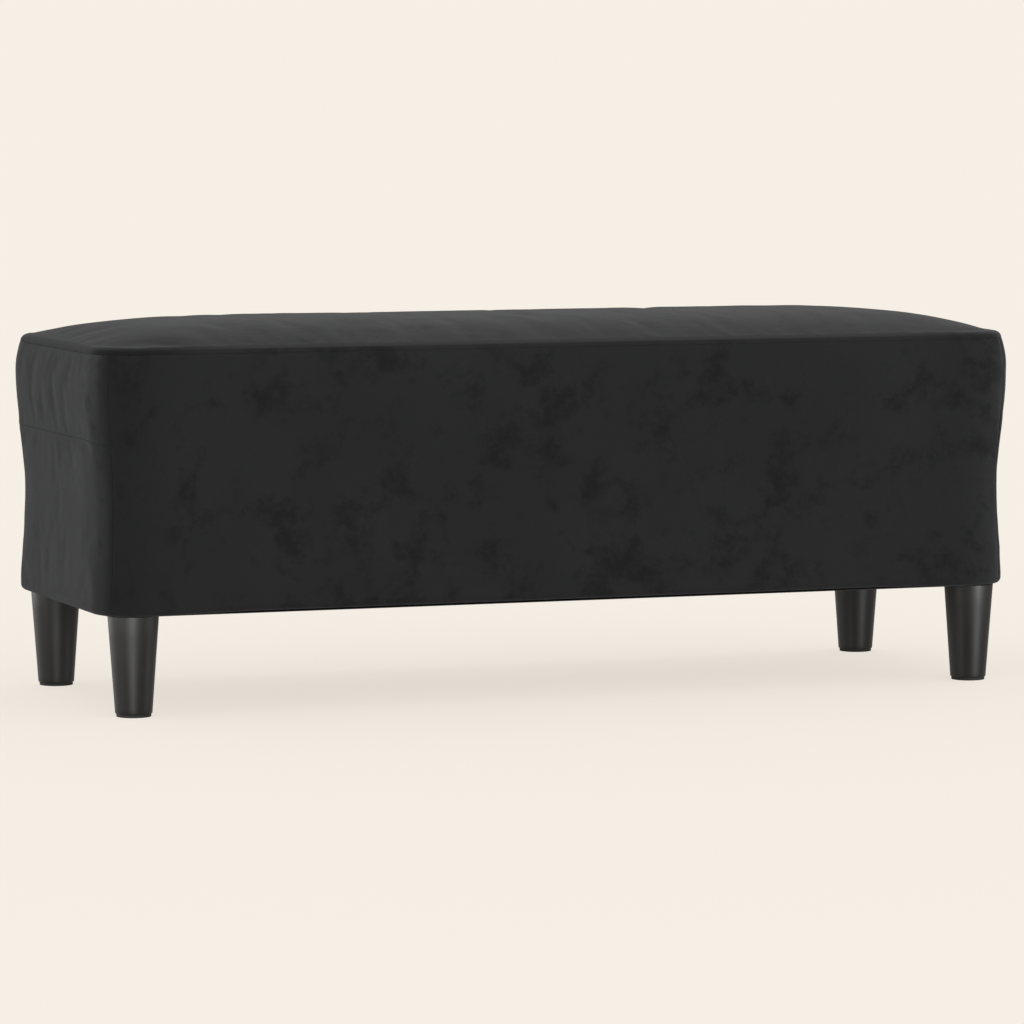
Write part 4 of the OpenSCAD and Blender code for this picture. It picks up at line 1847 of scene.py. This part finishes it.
@dataclass
class Leg:
    """One tapered moulded leg, hollow from above, with a boss for its stud and four ribs."""

    name: str
    node: str
    x: float
    y: float
    finish: MouldedPlastic
    foot_radius: float = 0.01875
    top_radius: float = 0.0258
    base: float = 0.003
    top: float = 0.1017
    wall: float = 0.003
    floor: float = 0.004
    boss_radius: float = 0.009
    bore_radius: float = 0.0041
    peg_radius: float = 0.003
    rib: float = 0.0025
    rim: float = 0.001
    crest_rim: float = 0.0004
    rim_steps: int = 4
    facets: int = 72
    wall_levels: tuple[float, ...] = (0.0085, 0.02, 0.04, 0.06, 0.08)
    boss_draft: float = 0.0003
    bore_depth: float = 0.0295
    rib_overlap: float = 0.0012
    rib_level: float = 0.05
    rib_sunk: float = 0.0004
    rib_short: float = 0.0006
    piece: Optional[bpy.types.Object] = field(default=None, init=False)

    def outer(self, level: float) -> float:
        """Radius of the tapered wall at a level."""
        low, high = self.base + self.rim, self.top - self.crest_rim
        return self.foot_radius + (self.top_radius - self.foot_radius) * (level - low) / (high - low)

    def profile(self) -> list[tuple[float, float]]:
        """Radius and height of each turned ring, from the peg hole out, up, and down the inside.

        Returns:
            The rings in order.
        """
        low, high = self.base, self.top
        rim, edge = self.rim, self.crest_rim
        arc = quarter_turn(self.rim_steps)
        foot = [
            (self.foot_radius - rim * (1 - math.sin(a)), low + rim * (1 - math.cos(a))) for a in arc
        ]
        wall = [(self.outer(z), z) for z in self.wall_levels]
        crest = [
            (self.top_radius - edge * (1 - math.cos(a)), high - edge * (1 - math.sin(a))) for a in arc
        ]
        inside = low + self.floor
        cavity = [
            (self.top_radius - self.wall, high),
            (self.outer(inside) - self.wall, inside),
            (self.boss_radius, inside),
            (self.boss_radius - self.boss_draft, high),
            (self.bore_radius, high),
            (self.bore_radius, high - self.bore_depth),
            (self.peg_radius, high - self.bore_depth),
        ]
        return [(self.peg_radius, low), *foot, *wall, *crest, *cavity]

    def build(self) -> bpy.types.Object:
        """Turns the leg from a ring and joins its ribs to it, still on the upright axis.

        Returns:
            The new piece.
        """
        rings = self.profile()
        radius, level = rings[0]
        deselect_all()
        bpy.ops.mesh.primitive_circle_add(
            vertices=self.facets, radius=radius, location=(0.0, 0.0, level), fill_type="NOTHING"
        )
        piece = bpy.context.object
        piece.name = piece.data.name = self.name
        bpy.ops.object.transform_apply(location=True)
        bpy.ops.object.mode_set(mode="EDIT")
        bpy.ops.mesh.select_all(action="SELECT")
        for new_radius, new_level in rings[1:]:
            bpy.ops.mesh.extrude_edges_move()
            bpy.ops.transform.translate(value=(0.0, 0.0, new_level - level))
            share = new_radius / radius
            bpy.ops.transform.resize(value=(share, share, 1.0), center_override=(0.0, 0.0, new_level))
            radius, level = new_radius, new_level
        bpy.ops.mesh.extrude_edges_move()
        bpy.ops.transform.translate(value=(0.0, 0.0, rings[0][1] - level))
        bpy.ops.mesh.select_all(action="SELECT")
        bpy.ops.mesh.remove_doubles(threshold=MERGE)
        bpy.ops.mesh.normals_make_consistent(inside=False)
        bpy.ops.object.mode_set(mode="OBJECT")
        for turn in (math.pi / 4, 3 * math.pi / 4):
            self.add_ribs(piece, turn)
        return piece

    def add_ribs(self, piece: bpy.types.Object, turn: float) -> None:
        """Joins two opposite ribs to the leg's wall and boss.

        Args:
            piece: The turned leg, still centred on the upright axis.
            turn: Direction of the ribs in plan.
        """
        low = self.base + self.floor - self.rib_sunk
        high = self.top - self.rib_short
        near = self.boss_radius - self.rib_overlap
        far = self.outer(self.rib_level) - self.rib_overlap
        for side in (0.0, math.pi):
            deselect_all()
            bpy.ops.mesh.primitive_cube_add(size=1.0, location=((near + far) / 2, 0.0, (low + high) / 2))
            rib = bpy.context.object
            rib.scale = (far - near, self.rib, high - low)
            bpy.ops.object.transform_apply(location=True, scale=True)
            for vertex in rib.data.vertices:
                if vertex.co.x > (near + far) / 2:
                    vertex.co.x = self.outer(vertex.co.z) - self.rib_overlap
            rib.data.transform(Matrix.Rotation(turn + side, 4, "Z"))
            apply_modifier(piece, "BOOLEAN", operation="UNION", solver="EXACT", object=rib)
            bpy.data.objects.remove(rib)

    def dress(self) -> None:
        """Gives the leg its finish and its place in the frame."""
        shade_smooth(self.piece, HARD_EDGE)
        take_place(self.piece, self.node, self.finish)
        log.info("leg %s: %d faces", self.name, len(self.piece.data.polygons))


@dataclass
class Legs:
    """The four moulded legs."""

    along: float = 0.46
    across: float = 0.145
    finish: MouldedPlastic = field(default_factory=MouldedPlastic)

    def build(self) -> None:
        """Models one leg and copies it to the four corners, each copy with its own mesh."""
        corners = [
            ("front_left_leg", "leg_front_left", -1, -1),
            ("front_right_leg", "leg_front_right", 1, -1),
            ("rear_left_leg", "leg_rear_left", -1, 1),
            ("rear_right_leg", "leg_rear_right", 1, 1),
        ]
        pattern = Leg("leg_pattern", "", 0.0, 0.0, self.finish).build()
        for name, node, right, rear in corners:
            leg = Leg(name, node, right * self.along, rear * self.across, self.finish)
            leg.piece = bpy.data.objects.new(name, pattern.data.copy())
            leg.piece.data.name = name
            bpy.context.scene.collection.objects.link(leg.piece)
            leg.piece.data.transform(Matrix.Translation((leg.x, leg.y, 0.0)))
            leg.dress()
        bpy.data.objects.remove(pattern)


# ---------------------------------------------------------------- timber, boards and fixings


@dataclass
class InnerFrame:
    """The timber box, its boards and all fixings, which keep their CAD shapes."""

    def finishes(self) -> dict[str, Finish]:
        """The finish of each CAD node that stays.

        Returns:
            The finishes by the nodes' names.
        """
        along_x, along_y, upright = (Timber(grain=grain) for grain in Grain)
        beech = Timber(
            species="beech",
            grain=Grain.ALONG_Y,
            pale=(0.58, 0.38, 0.23, 1.0),
            dark=(0.44, 0.26, 0.14, 1.0),
            line_scale=160.0,
        )
        steel, board = PlatedSteel(), Hardboard()
        chosen: dict[str, Finish] = {
            "seat_deck": Plywood(), "frame_dowels": beech, "foot_glides": GlideRubber(),
        }
        for level in ("base", "top"):
            chosen |= {f"{level}_rail_front": along_x, f"{level}_rail_rear": along_x}
            chosen |= {f"{level}_rail_left": along_y, f"{level}_rail_right": along_y}
        for cross in ("base_cross_rail", "top_cross_rail_left", "top_cross_rail_right"):
            chosen[cross] = along_y
        for corner in ("front_left", "front_right", "rear_left", "rear_right"):
            chosen |= {f"corner_block_{corner}": upright, f"corner_post_{corner}": upright}
        chosen |= {"mid_post_front": upright, "mid_post_rear": upright}
        chosen |= {f"{side}_panel": board for side in ("front", "rear", "left", "right")}
        for fixing in ("leg_studs", "threaded_inserts", "deck_screws", "panel_staples", "hem_staples"):
            chosen[fixing] = steel
        return chosen

    def dress(self) -> None:
        """Gives each CAD node that stays its finish."""
        for node, finish in self.finishes().items():
            finish.dress_node(node)
            log.info("kept %s in %s", node, finish.name)


# ---------------------------------------------------------------- studio


@dataclass(frozen=True)
class Lamp:
    """One soft lamp, by its direction in degrees and its distance from the point that it faces."""

    name: str
    azimuth: float
    elevation: float
    distance: float
    width: float
    height: float
    power: float
    aim: tuple[float, float, float] = (0.0, 0.0, 0.22)
    highlight: bool = False

    def place(self) -> None:
        """Adds the lamp to the scene; a highlight lamp shows in glossy surfaces only."""
        a, e = math.radians(self.azimuth), math.radians(self.elevation)
        away = Vector((math.sin(a) * math.cos(e), -math.cos(a) * math.cos(e), math.sin(e)))
        data = bpy.data.lights.new(self.name, "AREA")
        data.shape = "RECTANGLE"
        data.size, data.size_y, data.energy = self.width, self.height, self.power
        lamp = bpy.data.objects.new(self.name, data)
        lamp.location = Vector(self.aim) + away * self.distance
        lamp.visible_diffuse = not self.highlight
        lamp.rotation_mode = "QUATERNION"
        lamp.rotation_quaternion = (-away).to_track_quat("-Z", "Y")
        bpy.context.scene.collection.objects.link(lamp)


LEFT_LEG = (-0.46, -0.145, 0.05)
RIGHT_LEG = (0.46, -0.145, 0.05)


@dataclass
class Studio:
    """Pale floor and backdrop, soft lamps and the camera."""

    backdrop: Colour = (0.922, 0.863, 0.783, 1.0)
    floor: Colour = (0.86, 0.865, 0.87, 1.0)
    floor_seen: Colour = (0.960, 0.900, 0.815, 1.0)
    daylight: float = 0.92
    sky: Colour = (0.99, 0.995, 1.0, 1.0)
    shadow: float = 0.22
    shadow_reach: Range = (0.6, 2.2)
    floor_radius: float = 14.0
    floor_facets: int = 96
    camera_at: tuple[float, float, float] = (-1.8943, -5.0677, 0.6363)
    yaw: float = 0.3573
    pitch: float = 0.0842
    focal_pixels: float = 5151.6
    image_pixels: float = 1024.0
    sensor: float = 36.0
    sight: float = 60.0
    lamps: tuple[Lamp, ...] = (
        Lamp("right_panel", 100.0, 18.0, 3.4, 0.8, 1.8, 2.6),
        Lamp("left_strip", -20.8, 9.5, 0.545, 0.035, 0.26, 7.2, LEFT_LEG, True),
        Lamp("right_strip", 21.6, 9.5, 0.62, 0.035, 0.26, 9.8, RIGHT_LEG, True),
        Lamp("left_glow", -85.0, 8.0, 1.2, 0.9, 0.3, 10.5, LEFT_LEG, True),
        Lamp("rear_glow", -140.0, 8.0, 1.2, 0.9, 0.3, 9.5, LEFT_LEG, True),
    )

    def add_camera(self) -> None:
        """Adds the camera at the photograph's viewpoint."""
        data = bpy.data.cameras.new("camera")
        data.sensor_width = self.sensor
        data.lens = self.focal_pixels * self.sensor / self.image_pixels
        data.clip_end = self.sight
        camera = bpy.data.objects.new("camera", data)
        camera.location = self.camera_at
        look = Vector(
            (
                math.sin(self.yaw) * math.cos(self.pitch),
                math.cos(self.yaw) * math.cos(self.pitch),
                -math.sin(self.pitch),
            )
        )
        camera.rotation_mode = "QUATERNION"
        camera.rotation_quaternion = look.to_track_quat("-Z", "Y")
        bpy.context.scene.collection.objects.link(camera)
        bpy.context.scene.camera = camera

    def seen(self, tree: bpy.types.NodeTree) -> bpy.types.NodeSocket:
        """Socket that is 1 for rays from the camera, mirrors and glass.

        Args:
            tree: The node tree to add it to.

        Returns:
            The socket.
        """
        path = tree.nodes.new("ShaderNodeLightPath")
        total = path.outputs["Is Camera Ray"]
        for other in ("Is Glossy Ray", "Is Transmission Ray"):
            either = tree.nodes.new("ShaderNodeMath")
            either.operation = "MAXIMUM"
            tree.links.new(total, either.inputs[0])
            tree.links.new(path.outputs[other], either.inputs[1])
            total = either.outputs[0]
        return total

    def add_world(self) -> None:
        """Adds soft light from all round, and the plain backdrop that the camera sees."""
        world = bpy.data.worlds.new("studio")
        bpy.context.scene.world = world
        world.use_nodes = True
        tree = world.node_tree
        tree.nodes.clear()
        light, shown = tree.nodes.new("ShaderNodeBackground"), tree.nodes.new("ShaderNodeBackground")
        light.inputs["Color"].default_value = self.sky
        light.inputs["Strength"].default_value = self.daylight
        shown.inputs["Color"].default_value = self.backdrop
        mixed, output = tree.nodes.new("ShaderNodeMixShader"), tree.nodes.new("ShaderNodeOutputWorld")
        tree.links.new(self.seen(tree), mixed.inputs[0])
        tree.links.new(light.outputs[0], mixed.inputs[1])
        tree.links.new(shown.outputs[0], mixed.inputs[2])
        tree.links.new(mixed.outputs[0], output.inputs[0])

    def add_floor(self) -> None:
        """Adds the floor, which takes the backdrop's colour and keeps the bench's shadow."""
        deselect_all()
        bpy.ops.mesh.primitive_circle_add(
            vertices=self.floor_facets, radius=self.floor_radius, fill_type="NGON"
        )
        floor = bpy.context.object
        floor.name = "floor"
        g = Graph("studio_floor")
        colour = g.mix(self.seen(g.tree), self.floor, self.floor_seen)
        lit = g.add("ShaderNodeBsdfDiffuse", {"Color": colour})
        shown = g.add("ShaderNodeEmission", {"Color": self.backdrop})
        away = g.add("ShaderNodeVectorMath", {0: g.place}, operation="LENGTH").outputs["Value"]
        near = g.remap(away, self.shadow_reach, (self.shadow, 0.0))
        share = g.times(self.seen(g.tree), g.maths("SUBTRACT", 1.0, near))
        mixed = g.add("ShaderNodeMixShader", {0: share, 1: lit.outputs[0], 2: shown.outputs[0]})
        g.add("ShaderNodeOutputMaterial", {"Surface": mixed.outputs[0]})
        floor.data.materials.append(g.material)

    def build(self) -> None:
        """Sets up the whole studio."""
        scene = bpy.context.scene
        scene.view_settings.view_transform = "Standard"
        self.add_floor()
        self.add_world()
        for lamp in self.lamps:
            lamp.place()
        self.add_camera()


def main() -> None:
    """Builds the bench from the frame outwards, then the studio round it."""
    logging.basicConfig(level=logging.INFO, format="%(name)s: %(message)s")
    InnerFrame().dress()
    SoftFill().build()
    Cover().build()
    DustCover().build()
    Legs().build()
    Studio().build()


if __name__ == "__main__":
    main()
